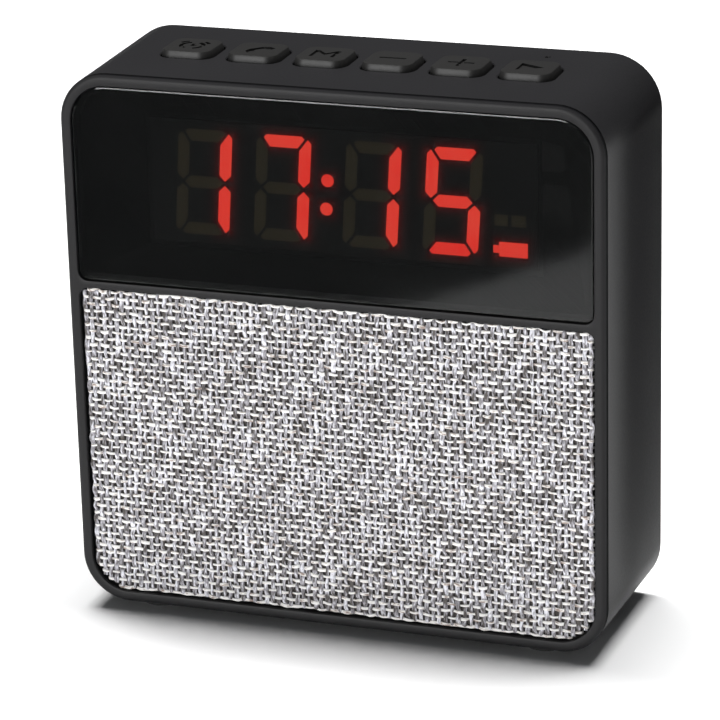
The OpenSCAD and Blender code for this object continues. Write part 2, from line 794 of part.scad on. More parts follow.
// Radio and amplifier chips, coil, crystal and capacitors
module board_chips() {
    color("#17181a") {
        chip(-2, 6, 9, 9, 1.4);
        chip(13, 6.5, 6, 5, 1.5);
        chip(-22, 6, 7, 7, 3);
        chip(22, 11.5, 5, 4, 1.2);
        chip(-30, 11.5, 4, 3, 1.1);
    }
    color("#3b4a6b") for (x = [6.5, 27.5])
        translate([x, main_front_y + 3, main_top_z]) cylinder(d = 4, h = 5);
}

// Flat chip with its middle a distance behind the board's front edge
module chip(x, from_front, w, d, h) {
    translate([x - w / 2, main_front_y + from_front - d / 2, main_top_z]) cube([w, d, h]);
}

module board_screws() {
    color("#9a9a9c") for (x = [-main_screw_x, main_screw_x], y = main_screw_y)
        translate([x, y, main_top_z]) screw(small_screw_d, board_t + 2.6);
}

// Flat shell of the charging socket, open to the rear
module charge_socket() {
    y = cover_y + 0.6;
    color("#b9bbbd") {
        difference() {
            translate([charge_x - charge_w / 2, y - 5.6, main_top_z]) cube([charge_w, 5.6, charge_h]);
            translate([charge_x - charge_w / 2 + 0.35, y - 5, main_top_z + 0.35])
                cube([charge_w - 0.7, 5 + cut, charge_h - 0.7]);
        }
        translate([charge_x - 1.9, y - 5.1, main_top_z + 1.1]) cube([3.8, 4.4, 0.6]);
    }
}

// Round 3.5 mm socket with a square body
module audio_jack() {
    y0 = cover_y - 10.2;
    y1 = cover_y + 1.4;
    color("#1a1a1c") difference() {
        union() {
            translate([jack_x - 3.2, y0, main_top_z]) cube([6.4, 10, jack_h]);
            rod(jack_x, main_top_z + jack_h / 2, y0 + 9, y1, jack_h);
        }
        rod(jack_x, main_top_z + jack_h / 2, y0 + 0.6, y1 + cut, jack_bore_d);
    }
}

module card_slot() {
    y = cover_y + 0.4;
    color("#b9bbbd") difference() {
        translate([card_x - card_w / 2, y - 15, main_top_z]) cube([card_w, 15, card_h]);
        translate([card_x - 5.7, y - 14, main_top_z + 0.4]) cube([11.4, 14 + cut, 1.1]);
    }
}

module power_switch_body() {
    w = slider_w + switch_travel + 0.2 + 2;
    color("#b9bbbd") difference() {
        translate([switch_x - w / 2, main_rear_y - 4, main_top_z]) cube([w, 4, 3.8]);
        translate([switch_x - w / 2 + 1, main_rear_y - 3.2, knob_z - 1.2]) cube([w - 2, 2.4, 2.4]);
        translate([switch_x - (switch_travel + knob_w) / 2 - 0.1, main_rear_y - 1, knob_z - knob_w / 2 - 0.1])
            cube([switch_travel + knob_w + 0.2, 2, knob_w + 0.2]);
    }
}

// Slider inside the switch and the knob that reaches through the cover
module power_switch_knob() {
    x = switch_x - switch_travel / 2;
    color("#26262a") {
        translate([x - slider_w / 2, main_rear_y - 3.1, knob_z - 1.1]) cube([slider_w, 2.2, 2.2]);
        translate([x - knob_w / 2, main_rear_y - 1, knob_z - knob_w / 2])
            cube([knob_w, rear_y - 0.5 - main_rear_y + 1, knob_w]);
    }
}

// ---- Battery ----

module battery_cell() {
    color("#2f6db3") translate([-cell_l / 2, cell_y, cell_z]) rotate([0, 90, 0])
        cylinder(d = cell_d, h = cell_l);
    color("#c9cacc") translate([cell_l / 2 - join, cell_y, cell_z]) rotate([0, 90, 0])
        cylinder(d = 5.6, h = 0.6);
}

// Trough that holds the rear half of the cell, on the rear cover
module battery_cradle() {
    trough_l = cell_l + 2 * (0.6 + cradle_wall);
    outer = cell_d + 2 * gap + 2 * cradle_wall;
    color("#29292b") difference() {
        translate([-trough_l / 2, cell_y, cell_z - outer / 2]) cube([trough_l, cover_y - cell_y, outer]);
        translate([-cell_l / 2 - 0.6, cell_y, cell_z]) rotate([0, 90, 0])
            cylinder(d = cell_d + 2 * gap, h = cell_l + 1.2);
        for (side = [-1, 1]) translate([side * strap_x - 2, cell_y - cut, cell_z - outer / 2 - cut])
            cube([4, 6 + cut, 0.6 + cut]);
        for (side = [-1, 1]) translate([side * strap_x - 2, cell_y - cut, cell_z + outer / 2 - 0.6])
            cube([4, 6 + cut, 0.6 + cut]);
    }
}

// Spring bands over the cell, hooked on the trough's long edges
module battery_straps() {
    outer = cell_d + 2 * gap + 2 * cradle_wall;
    color("#b9bbbd") for (side = [-1, 1]) translate([side * strap_x - 1.8, cell_y, cell_z]) {
        difference() {
            rotate([0, 90, 0]) cylinder(d = outer, h = 3.6);
            translate([-cut, 0, 0]) rotate([0, 90, 0]) cylinder(d = outer - 1.2, h = 3.6 + 2 * cut);
            translate([-cut, 0, -outer]) cube([3.6 + 2 * cut, outer, 2 * outer]);
        }
        for (edge = [-outer / 2, outer / 2 - 0.6]) translate([0, -0.1, edge]) cube([3.6, 5.9, 0.6]);
    }
}

module battery_plug() {
    color("#e4e0d4") translate([plug_x - 3, main_front_y + 1, main_top_z]) cube([6, 4.4, plug_h]);
}

// Two leads from the ends of the cell to the plug
module battery_leads() {
    plug_y = main_front_y + 3.2;
    end_x = cell_l / 2;
    wire_z = main_top_z + plug_h + 0.6;
    color("#b3201c") wire([[-end_x - 0.8, cell_y - 4, cell_z], [-end_x - 2.5, cell_y - 8, cell_z - 2],
        [-end_x - 3, cell_y - 10, cell_z - 8], [plug_x - 1.2, plug_y + 1, wire_z + 3],
        [plug_x - 1.2, plug_y, wire_z]], 1, [1, 0.2, 0.3]);
    color("#1a1a1a") wire([[end_x + 1.2, cell_y - 1, cell_z], [end_x + 1.8, cell_y - 7, cell_z - 1],
        [end_x + 0.6, cell_y - 10.4, cell_z - 4], [end_x - 6, cell_y - 11.2, cell_z - 7],
        [end_x - 18, cell_y - 11.2, cell_z - 9], [-end_x + 20, cell_y - 11.2, cell_z - 9],
        [plug_x + 6, plug_y + 2, wire_z + 3], [plug_x + 1.2, plug_y, wire_z]], 1, [0.3, 0.17, 0.93]);
}

// ---- Keys ----

// Square cap with a retaining flange and a stem down to its dome switch
module key(i) {
    color("#2c2c2d") translate([key_x(i), key_y, 0]) {
        difference() {
            translate([0, -key_size / 2, key_flange_z - join])
                linear_extrude(key_top_z - key_flange_z + join) rounded(key_size, key_size, key_r, key_r);
            key_icon(i);
        }
        flange = key_size + 2 * flange_over;
        translate([0, -flange / 2, key_flange_z - key_flange_t])
            linear_extrude(key_flange_t) rounded(flange, flange, key_r, key_r);
        translate([0, 0, switch_top_z - stem_in])
            cylinder(d = stem_d, h = key_flange_z - key_flange_t / 2 - switch_top_z + stem_in);
    }
}

// Sunk mark on top of a key
module key_icon(i) {
    depth = 0.25;
    translate([0, 0, key_top_z - depth]) linear_extrude(1) {
        if (i == 0) difference() {
            circle(d = 5);
            circle(d = 4);
        }
        if (i == 1) rotate(45) square([5, 1.2], center = true);
        if (i == 2) for (x = [-1.8, 1.8]) translate([x, 0]) square([0.8, 4.4], center = true);
        if (i == 3) square([4.4, 0.8], center = true);
        if (i == 4) {
            square([4.4, 0.8], center = true);
            square([0.8, 4.4], center = true);
        }
        if (i == 5) polygon([[-1.9, -2.2], [2.4, 0], [-1.9, 2.2]]);
    }
}

// Six low switches, each open on top for the key's stem
module dome_switches() {
    color("#b9bbbd") for (i = [0:key_count - 1]) translate([key_x(i), key_y, key_board_z]) difference() {
        translate([-switch_w / 2, -switch_w / 2, 0]) cube([switch_w, switch_w, switch_h]);
        translate([0, 0, switch_h - well_d]) cylinder(d = stem_d + 0.4, h = well_d + cut);
    }
}

module key_board() {
    color("#1d4a2c") difference() {
        translate([-key_board_w / 2, key_board_y[0], key_board_z - board_t])
            cube([key_board_w, key_board_y[1] - key_board_y[0], board_t]);
        for (p = key_screws) translate([p.x, p.y, key_board_z - board_t - cut])
            cylinder(d = small_screw_d + 0.4, h = board_t + 2 * cut);
    }
}

module key_board_screws() {
    color("#9a9a9c") for (p = key_screws) translate([p.x, p.y, key_board_z - board_t])
        rotate([180, 0, 0]) screw(small_screw_d, board_t + 3.4);
}

module microphone() {
    color("#c2c4c6") translate([mic_x, mic_y, key_board_z]) cylinder(d = mic_d, h = 2.2);
}

// Rubber tube that seals the microphone to the top wall
module mic_boot() {
    h = top_z(mic_y - mic_d) - wall - gap - key_board_z;
    color("#151515") translate([mic_x, mic_y, key_board_z]) difference() {
        cylinder(d = mic_d + 2.4, h = h);
        translate([0, 0, -cut]) cylinder(d = mic_d + 0.1, h = 2.3 + cut);
        cylinder(d = 3, h = h + cut);
    }
}

// ---- Ribbons ----

// Flat cable from the foot of the display board to the main board
module display_ribbon() {
    y = display_board_y + board_t;
    z = digit_z - display_board_h / 2 + 3;
    low = main_top_z;
    color("#c8c4b4") translate([-16, 0, 0]) rotate([90, 0, 90]) linear_extrude(9)
        polygon([[y, z], [y, z - 4], [y + 1, low], [y + 4, low], [y + 4, low + 0.3], [y + 1.3, low + 0.3],
            [y + 0.3, z - 4], [y + 0.3, z]]);
}

// Flat cable from the key board, past the cell's end, to the main board
module key_ribbon() {
    x = cell_l / 2 + 4.6;
    y = key_board_y[0] + 2;
    top = key_board_z - board_t;
    low = main_top_z;
    color("#c8c4b4") translate([x, 0, 0]) rotate([90, 0, 90]) linear_extrude(5)
        polygon([[y + 3, top], [y, top], [y - 0.3, top - 3], [y - 0.3, low + 3], [y, low], [y + 3, low],
            [y + 3, low + 0.3], [y + 0.3, low + 0.3], [y, low + 3], [y, top - 3], [y + 0.3, top - 0.3],
            [y + 3, top - 0.3]]);
}

front_frame();
housing();
rear_cover();
cover_screws();
feet();
display_lens();
lens_tape();
grille_plate();
grille_fabric();
display_reflector();
window_digit(0);  // digit_1
window_digit(1);  // digit_2
window_digit(2);  // digit_3
window_digit(3);  // digit_4
colon_dots();
status_icons();
display_leds();
display_board();
display_driver();
display_screws();
speaker_gasket();
speaker_basket();
speaker_top_plate();
speaker_magnet();
speaker_yoke();
voice_coil();
speaker_cone();
dust_cap();
speaker_surround();
speaker_spider();
speaker_terminals();
speaker_screws();
speaker_leads();
main_board();
board_chips();
board_screws();
charge_socket();
audio_jack();
card_slot();
power_switch_body();
power_switch_knob();
battery_cell();
battery_cradle();
battery_straps();
battery_leads();
battery_plug();
key(0);  // key_alarm
key(1);  // key_call
key(2);  // key_mode
key(3);  // key_minus
key(4);  // key_plus
key(5);  // key_play
dome_switches();
key_board();
key_board_screws();
microphone();
mic_boot();
display_ribbon();
key_ribbon();
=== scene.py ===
import math
import random

import bmesh
import bpy
from mathutils import Matrix, Vector


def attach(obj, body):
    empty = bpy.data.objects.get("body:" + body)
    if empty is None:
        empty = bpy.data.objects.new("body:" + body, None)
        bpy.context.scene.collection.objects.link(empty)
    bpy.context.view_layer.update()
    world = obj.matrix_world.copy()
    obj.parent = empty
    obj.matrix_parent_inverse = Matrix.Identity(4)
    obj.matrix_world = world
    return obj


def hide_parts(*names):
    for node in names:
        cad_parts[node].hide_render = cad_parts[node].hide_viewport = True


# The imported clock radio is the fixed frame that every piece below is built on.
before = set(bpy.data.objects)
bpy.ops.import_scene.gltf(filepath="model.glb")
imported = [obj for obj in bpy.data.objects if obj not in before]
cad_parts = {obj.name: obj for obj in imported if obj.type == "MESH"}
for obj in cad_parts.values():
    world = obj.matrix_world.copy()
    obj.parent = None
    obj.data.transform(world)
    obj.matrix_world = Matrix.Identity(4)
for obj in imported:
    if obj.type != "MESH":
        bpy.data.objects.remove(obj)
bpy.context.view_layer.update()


# ---- Camera ----
# A long lens looks slightly down on the radio from the front and its right, so that the front,
# the top with its keys and the right side show.
camera_data = bpy.data.cameras.new("camera")
camera_data.lens = 182.28
camera_data.sensor_width = 36
camera_data.shift_x = -0.00278
camera_data.shift_y = 0.00806
camera_data.clip_start = 0.05
camera = bpy.data.objects.new("camera", camera_data)
camera.matrix_world = (
    Matrix.Translation((0.2282, -0.6324, 0.2862))
    @ Matrix.Rotation(math.radians(19.89), 4, "Z")
    @ Matrix.Rotation(math.radians(90 - 19.40), 4, "X")
    @ Matrix.Rotation(math.radians(-1.462), 4, "Z")
)
bpy.context.scene.collection.objects.link(camera)
bpy.context.scene.camera = camera


# ---- Floor ----
# A plain white matt table top, far wider than the view.


class Wire:
    """A socket in a material. Sums and products of wires add the Math nodes that work them out."""

    def __init__(self, tree, socket=None):
        self.tree = tree
        self.socket = socket

    def node(self, kind, settings=None, inputs=None, out=0):
        """Adds a shader node, with its settings first and then its sockets' values or wires."""
        made = self.tree.nodes.new("ShaderNode" + kind)
        for name, value in (settings or {}).items():
            if name == "stops":
                ramp = made.color_ramp.elements
                while len(ramp) < len(value):
                    ramp.new(1)
                for stop, (position, color) in zip(ramp, value):
                    stop.position = position
                    stop.color = (*color, 1)
            else:
                setattr(made, name, value)
        for name, value in (inputs or {}).items():
            plug(self.tree, made.inputs[name], value)
        return Wire(self.tree, made.outputs[out])

    def math(self, operation, *values):
        return self.node("Math", {"operation": operation}, dict(enumerate(values)))

    def vector(self, operation, first, second=(0.0, 0.0, 0.0), out=0):
        return self.node("VectorMath", {"operation": operation}, {0: first, 1: second}, out)

    def blend(self, low, high):
        """A colour between two, by this wire."""
        return self.node("Mix", {"data_type": "RGBA"}, {0: self, 6: low, 7: high}, 2)

    def ramp(self, *stops):
        return self.node("ValToRGB", {"stops": stops}, {0: self})

    def __add__(self, other):
        return self.math("ADD", self, other)

    def __sub__(self, other):
        return self.math("SUBTRACT", self, other)

    def __rsub__(self, other):
        return self.math("SUBTRACT", other, self)

    def __mul__(self, other):
        return self.math("MULTIPLY", self, other)

    __radd__ = __add__
    __rmul__ = __mul__


def plug(tree, socket, value):
    """Links a wire to a socket, or sets the socket to a value."""
    if isinstance(value, Wire):
        tree.links.new(value.socket, socket)
    elif isinstance(value, tuple) and len(value) == 3 and len(socket.default_value) == 4:
        socket.default_value = (*value, 1)
    else:
        socket.default_value = value


def start_finish(name):
    """A new material; returns it with a wire to build on and the call that sets its shader."""
    material = bpy.data.materials.new(name)
    material.use_nodes = True
    tree = material.node_tree
    shader = next(n for n in tree.nodes if n.type == "BSDF_PRINCIPLED")

    def shade(**sockets):
        for name, value in sockets.items():
            plug(tree, shader.inputs[name.replace("_", " ")], value)
        return material

    return Wire(tree), shade


def noise(wire, place, scale, detail=2.0, roughness=0.5):
    return wire.node("TexNoise", {}, {"Vector": place, "Scale": scale, "Detail": detail,
                                      "Roughness": roughness})


def bump(wire, height, depth, strength=1.0):
    return wire.node("Bump", {}, {"Strength": strength, "Distance": depth, "Height": height})


def white_table():
    wire, shade = start_finish("white_table")
    place = wire.node("TexCoord", out="Object")
    cloud = noise(wire, place, 3.0)
    return shade(Base_Color=cloud.blend((0.93, 0.93, 0.93), (0.95, 0.95, 0.95)), Roughness=0.6,
                 Specular_IOR_Level=0.2)


floor_mesh = bmesh.new()
bmesh.ops.create_grid(floor_mesh, x_segments=1, y_segments=1, size=6)
floor_data = bpy.data.meshes.new("floor")
floor_mesh.to_mesh(floor_data)
floor_mesh.free()
floor = bpy.data.objects.new("floor", floor_data)
floor.data.materials.append(white_table())
bpy.context.scene.collection.objects.link(floor)


# ---- Studio light ----
# A large soft box overhead and behind, a low one in front that lights the cloth, and a dim room.
# The overhead box is kept out of reflections. A box high in front, which draws the edges, and two
# dark cards, where the lens and the right side would mirror the table, show in reflections alone.


def soft_box(name, place, aim, size, watts, hidden_rays=()):
    """A rectangular lamp. It is left out of the kinds of ray that are named."""
    lamp = bpy.data.lights.new(name, "AREA")
    lamp.shape = "RECTANGLE"
    lamp.size, lamp.size_y = size
    lamp.energy = watts
    obj = bpy.data.objects.new(name, lamp)
    turn = (Vector(aim) - Vector(place)).to_track_quat("-Z", "Y").to_matrix().to_4x4()
    obj.matrix_world = Matrix.Translation(place) @ turn
    for ray in hidden_rays:
        setattr(obj, "visible_" + ray, False)
    bpy.context.scene.collection.objects.link(obj)


def dark_card(name, corners, grey):
    """A dark card that shows in reflections alone."""
    mesh = bmesh.new()
    mesh.faces.new([mesh.verts.new(corner) for corner in corners])
    data = bpy.data.meshes.new(name)
    mesh.to_mesh(data)
    mesh.free()
    obj = bpy.data.objects.new(name, data)
    wire, shade = start_finish(name)
    data.materials.append(shade(Base_Color=(grey, grey, grey), Specular_IOR_Level=0.0,
                                Roughness=1.0))
    for ray in ("camera", "diffuse", "transmission", "shadow"):
        setattr(obj, "visible_" + ray, False)
    bpy.context.scene.collection.objects.link(obj)


soft_box("top_box", (-0.06, 0.185, 1.3), (-0.06, 0.18, 0), (1.15, 0.36), 37, ["glossy"])
soft_box("front_box", (-0.5, -1.5, 0.075), (0, 0, 0.06), (1.2, 0.13), 13)
soft_box("edge_box", (-0.5, -1.4, 0.75), (0, 0, 0.1), (0.9, 0.6), 22, ["diffuse"])
dark_card("table_card", ((-0.24, -0.42, 0.002), (-0.02, -0.42, 0.002), (-0.02, -0.26, 0.002),
                         (-0.09, -0.14, 0.002), (-0.24, -0.14, 0.002)), 0.06)
dark_card("side_card", ((0.060, 0.002, 0.0), (0.077, 0.40, 0.0), (0.077, 0.40, 0.16),
                        (0.060, 0.002, 0.16)), 0.02)
room = bpy.data.worlds.new("room")
room.use_nodes = True
room.node_tree.nodes["Background"].inputs["Color"].default_value = (0.9, 0.95, 1, 1)
room.node_tree.nodes["Background"].inputs["Strength"].default_value = 0.045
bpy.context.scene.world = room
bpy.context.scene.view_settings.view_transform = "Standard"


# ---- Front frame ----
# Moulded in satin black ABS: a rounded rim with a divider bar between the display and the grille,
# the wall behind them, the speaker's thick pad and four long posts that take the rear screws.
MM = 0.001
FRONT, REAR = -18.6, 18.6
BODY, STAND, DRAFT, CORNER = 110.0, 0.8, 0.9, 10.4
FRAME_END = -17.4
SEAT, INNER, WALL = -15.7, -13.7, 2.0
OPEN_W = 103.8
GRILLE_Z, GRILLE_H = 3.9, 63.1
DISPLAY_Z, DISPLAY_H = 68.5, 39.2
PANEL_R, BAR_R = 7.3, 2.0
PANEL_GAP = 0.3
SPEAKER_Z, SPEAKER_R = 35.45, 23.5
POST_XS, POST_ZS, POST_END = (-48.5, 48.5), (9.5, 94.0), 14.4
DIGIT_Z = DISPLAY_Z + 0.535 * DISPLAY_H


def skin_inset(y):
    """How far the tapering skin lies inside the rear outline at a depth y."""
    return DRAFT * (REAR - y) / (REAR - FRONT)


def upright(x=0, y=0, z=0):
    """Stands a flat shape up across the y axis."""
    return Matrix.Translation((x, y, z)) @ Matrix.Rotation(math.radians(90), 4, "X")


def rounded_loop(mesh, w, h, place, top_r, low_r=None, steps=10):
    """Adds a closed rounded rectangle about the middle of place, and returns its edges."""
    old = set(mesh.edges)
    corners = [mesh.verts.new(place @ Vector((sx * w / 2, sy * h / 2, 0)))
               for sx, sy in ((-1, -1), (1, -1), (1, 1), (-1, 1))]
    mesh.faces.new(corners)
    for pair, radius in ((corners[:2], low_r or top_r), (corners[2:], top_r)):
        bmesh.ops.bevel(mesh, geom=pair, offset=radius, segments=steps, profile=0.5,
                        affect="VERTICES", material=-1)
    edges = [e for e in mesh.edges if e not in old]
    bmesh.ops.delete(mesh, geom=list({f for e in edges for f in e.link_faces}),
                     context="FACES_ONLY")
    return edges


def linked(verts, kind):
    """The edges or faces at some vertices, once each and in the same order every time."""
    return list(dict.fromkeys(item for v in verts for item in getattr(v, kind)))


def round_loop(mesh, radius, place, steps=32):
    made = bmesh.ops.create_circle(mesh, cap_ends=False, segments=steps, radius=radius,
                                   matrix=place)
    return linked(made["verts"], "link_edges")


def outline_loop(mesh, points, place):
    """Adds a closed loop through flat points."""
    verts = [mesh.verts.new(place @ Vector((x, y, 0))) for x, y in points]
    return [mesh.edges.new((a, b)) for a, b in zip(verts, verts[1:] + verts[:1])]


def body_loop(mesh, y, inset, steps=12):
    """The body's outline at a depth y, drawn in by some amount."""
    total = skin_inset(y) + inset
    side = BODY - 2 * total
    return rounded_loop(mesh, side, side, upright(0, y, STAND + BODY / 2), CORNER - total,
                        steps=steps)


def band(mesh, *loops):
    """Joins each loop to the next with faces. Two loops in one plane would twist their band."""
    for a, b in zip(loops, loops[1:]):
        bmesh.ops.bridge_loops(mesh, edges=a + b)


def fill(mesh, *loops):
    """Closes the area inside the first loop, round the other loops."""
    bmesh.ops.triangle_fill(mesh, use_beauty=True, edges=[e for loop in loops for e in loop])


def post(mesh, x, z, y0, y1, r, hole=0, deep=0):
    """A round post along the y axis with a blind screw hole in its far end."""
    loops = [round_loop(mesh, r, upright(x, y, z), 24) for y in (y0, y1 - 0.2)]
    loops.append(round_loop(mesh, r - 0.2, upright(x, y1, z), 24))
    if hole:
        loops += [round_loop(mesh, hole, upright(x, y, z), 24) for y in (y1 - 0.01, y1 - deep)]
    band(mesh, *loops)
    fill(mesh, loops[0])
    fill(mesh, loops[-1])


def block(mesh, low, high, edge=0.0):
    """A box between two corners, its edges broken by a small bevel."""
    size = [b - a for a, b in zip(low, high)]
    middle = [(a + b) / 2 for a, b in zip(low, high)]
    made = bmesh.ops.create_cube(mesh, size=1, matrix=Matrix.Translation(middle)
                                 @ Matrix.Diagonal((*size, 1)))
    if edge:
        bmesh.ops.bevel(mesh, geom=linked(made["verts"], "link_edges"), offset=edge,
                        segments=2, profile=0.5, affect="EDGES", material=-1)


def make_piece(name, mesh, finishes, node=None, body="body", smooth=32):
    """Turns a bmesh in millimetres into a piece that rides on a body and stands for a CAD node."""
    bmesh.ops.remove_doubles(mesh, verts=mesh.verts, dist=0.0005)
    bmesh.ops.recalc_face_normals(mesh, faces=mesh.faces)
    bmesh.ops.scale(mesh, vec=(MM, MM, MM), verts=mesh.verts)
    data = bpy.data.meshes.new(name)
    mesh.to_mesh(data)
    mesh.free()
    data.shade_smooth()
    data.set_sharp_from_angle(angle=math.radians(smooth))
    obj = bpy.data.objects.new(name, data)
    for finish in finishes if isinstance(finishes, list) else [finishes]:
        data.materials.append(finish)
    bpy.context.scene.collection.objects.link(obj)
    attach(obj, body)
    if node:
        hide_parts(*([node] if isinstance(node, str) else node))
    return obj


def moulded(name, color, roughness, grain=0.000012, shine=0.25, shade_at_seam=False):
    """Moulded plastic: an even colour, a faint flow pattern and a fine spark-eroded grain.

    The skin beside the seam between the two mouldings can be given painted shade, a darker colour
    there, and made more matt.
    """
    wire, shade = start_finish(name)
    place = wire.node("TexCoord", out="Object")
    flow = noise(wire, place, 28.0, 3.0)
    speck = noise(wire, place, 2600.0, 1.0)
    dark = tuple(0.86 * c for c in color)
    light = tuple(1.14 * c for c in color)
    tone, rough = flow.blend(dark, light), speck * 0.1 + flow * 0.06 + roughness
    # Painted shade: a dark band of colour along the seam, where the skin is also made more matt.
    if shade_at_seam:
        off = wire.node("SeparateXYZ", {}, {0: place}, "Y") - (FRAME_END - 0.15) * MM
        painted_seam_shade = wire.node("MapRange", {"interpolation_type": "SMOOTHSTEP"},
                            {0: off.math("ABSOLUTE", off), 1: 0.0002, 2: 0.0007, 3: 1.0, 4: 0.0})
        tone, rough = painted_seam_shade.blend(tone, (0.003, 0.003, 0.0035)), painted_seam_shade * 0.4 + rough
    return shade(Base_Color=tone, Roughness=rough, Specular_IOR_Level=shine,
                 Normal=bump(wire, speck, grain))


# The satin black carries painted shade along the seam.
satin_black = moulded("satin_black_abs", (0.0152, 0.0149, 0.0158), 0.38, shine=0.15, shade_at_seam=True)

rim = bmesh.new()
outer = [body_loop(rim, FRONT + 1 - math.sin(math.radians(a)), 1 - math.cos(math.radians(a)))
         for a in range(0, 91, 15)]
lap = [body_loop(rim, y, inset) for y, inset in
       ((FRAME_END - 0.12, 0.06), (FRAME_END, 0.35), (FRAME_END + 0.01, 1.1), (INNER, 1.1))]
band(rim, *outer)
band(rim, outer[0], *lap)
screens = [(DISPLAY_Z, DISPLAY_H, PANEL_R, BAR_R), (GRILLE_Z, GRILLE_H, BAR_R, PANEL_R)]
fronts, seats = [], []
for z, h, top_r, low_r in screens:
    loops = [rounded_loop(rim, OPEN_W + 2 * out, h + 2 * out, upright(0, y, z + h / 2), top_r + out,
                          low_r + out)
             for y, out in ((FRONT, 0.25), (FRONT + 0.07, 0.07), (FRONT + 0.25, 0), (SEAT, 0))]
    band(rim, *loops)
    fronts.append(loops[0])
    seats.append(loops[-1])
fill(rim, outer[-1], *fronts)
cut_outs = []
for y in (SEAT, INNER):
    cut_outs.append([
        rounded_loop(rim, 77.25, 24.65, upright(2.0, y, DIGIT_Z), 0.3, steps=2),
        round_loop(rim, SPEAKER_R, upright(0, y, SPEAKER_Z), 64),
    ] + [round_loop(rim, 1.3, upright(x, y, z), 16)
         for x in (-45.9, 45.9) for z in (GRILLE_Z + 13, GRILLE_Z + GRILLE_H - 8)])
for at_seat, behind in zip(*cut_outs):
    band(rim, at_seat, behind)
fill(rim, seats[0], cut_outs[0][0])
fill(rim, seats[1], *cut_outs[0][1:])
fill(rim, lap[-1], *cut_outs[1])
pad = [rounded_loop(rim, 55, 52, upright(0, y, SPEAKER_Z), 1, steps=3)
       for y in (INNER - 0.2, INNER + 2)]
bore = [round_loop(rim, SPEAKER_R, upright(0, y, SPEAKER_Z), 64)
        for y in (INNER - 0.2, INNER + 2)]
band(rim, *pad)
band(rim, *bore)
for side, hole in zip(pad, bore):
    fill(rim, side, hole)
for x in POST_XS:
    for z in POST_ZS:
        post(rim, x, z, INNER - 0.2, POST_END, 3.2, 1.3, 9)
for x in (-30, 30):
    for z in (DIGIT_Z - 14.375, DIGIT_Z + 14.375):
        post(rim, x, z, INNER - 0.2, -10.0, 2.0, 0.9, 4)
make_piece("front_frame_moulding", rim, satin_black, "front_frame")


# ---- Housing ----
# The deep shell of the same satin black ABS. It laps over the frame at a fine groove, and its top
# wall has six key holes and the microphone's. A shelf inside closes off the speaker chamber.
COVER_Y = 16.4
KEY_Y, KEY_PITCH, KEY_SIZE, KEY_R = 1.1, 13.62, 10.4, 2.5
KEY_RISE, KEY_GAP, FLANGE_OVER = 1.2, 0.35, 0.85
FOOT_WELL_R = 4.55
MIC = (34.05, 12.3)
SHELF_Z = 61.9
KEY_BOARD_Z = 101.52


def skin_top(y):
    return STAND + BODY - skin_inset(y)


def flat_between(mesh, low, high):
    """Takes out the one flat face that lies between two heights, and returns its edges."""
    face = max((f for f in mesh.faces if all(low < v.co.z < high for v in f.verts)),
               key=lambda f: f.calc_area())
    edges = list(face.edges)
    bmesh.ops.delete(mesh, geom=[face], context="FACES_ONLY")
    return edges


shell = bmesh.new()
skin = [body_loop(shell, y, inset) for y, inset in
        ((FRAME_END, 0.8), (FRAME_END + 0.30, 0.75), (FRAME_END + 0.32, 0.03),
         (FRAME_END + 0.35, 0), (REAR - 0.6, 0),
         (REAR - 0.3, 0.08), (REAR - 0.1, 0.25), (REAR, 0.5))]
seat = [body_loop(shell, y, inset) for y, inset in
        ((REAR - 0.01, 1.1), (REAR - 0.1, 1.2), (COVER_Y, 1.2), (COVER_Y - 0.01, 2), (INNER, 2),
         (INNER - 0.01, 1.0), (FRAME_END + 0.01, 1.0))]
band(shell, *skin)
band(shell, skin[-1], *seat)
band(shell, seat[-1], skin[0])
key_xs = [(i - 2.5) * KEY_PITCH for i in range(6)]
hole_size = KEY_SIZE + 2 * KEY_GAP
feet_at = [(x, y) for x in (-40, 40) for y in (-11, 11)]
top_edges, ceiling_edges = flat_between(shell, 109, 112), flat_between(shell, 106, 109)
floor_edges = flat_between(shell, 0, 1.75)
holes = []
for level, out in ((0.0, 0.2), (0.2, 0.0), (WALL, 0.0)):
    row = [rounded_loop(shell, hole_size + 2 * out, hole_size + 2 * out,
                        Matrix.Translation((x, KEY_Y, 0)), KEY_R + KEY_GAP + out, steps=6)
           for x in key_xs]
    row.append(round_loop(shell, 0.5 + out / 2, Matrix.Translation((*MIC, 0)), 20))
    for vert in {v for loop in row for e in loop for v in e.verts}:
        vert.co.z = skin_top(vert.co.y) - level
    holes.append(row)
for levels in zip(*holes):
    band(shell, *levels)
fill(shell, top_edges, *holes[0])
fill(shell, ceiling_edges, *holes[-1])
wells = [round_loop(shell, FOOT_WELL_R, Matrix.Translation((x, y, 0)), 32) for x, y in feet_at]
for vert in {v for loop in wells for e in loop for v in e.verts}:
    vert.co.z = STAND + skin_inset(vert.co.y)
fill(shell, floor_edges, *wells)
for (x, y), well in zip(feet_at, wells):
    bottom = round_loop(shell, FOOT_WELL_R, Matrix.Translation((x, y, 2.0)), 32)
    band(shell, well, bottom)
    fill(shell, bottom)
block(shell, (-52.2, INNER, SHELF_Z), (52.2, COVER_Y - 0.3, SHELF_Z + 1.5), 0.2)
for x in (-41, 41):
    for y in (-6.5, 9.0):
        bmesh.ops.create_cone(shell, cap_ends=True, segments=24, radius1=2.5, radius2=2.4,
                              depth=2.2, matrix=Matrix.Translation((x, y, SHELF_Z + 2.4)))
for x, y in ((-44.5, KEY_Y), (44.5, KEY_Y), (-20.43, MIC[1]), (20.43, MIC[1])):
    boss_top = skin_top(y) - WALL + 0.3
    bmesh.ops.create_cone(shell, cap_ends=True, segments=24, radius1=2.2, radius2=2.4,
                          depth=boss_top - KEY_BOARD_Z,
                          matrix=Matrix.Translation((x, y, (boss_top + KEY_BOARD_Z) / 2)))
make_piece("housing_moulding", shell, satin_black, "housing")


# ---- Display lens ----
# A black tinted acrylic window, cut out with a polished bevel and glued in its recess.


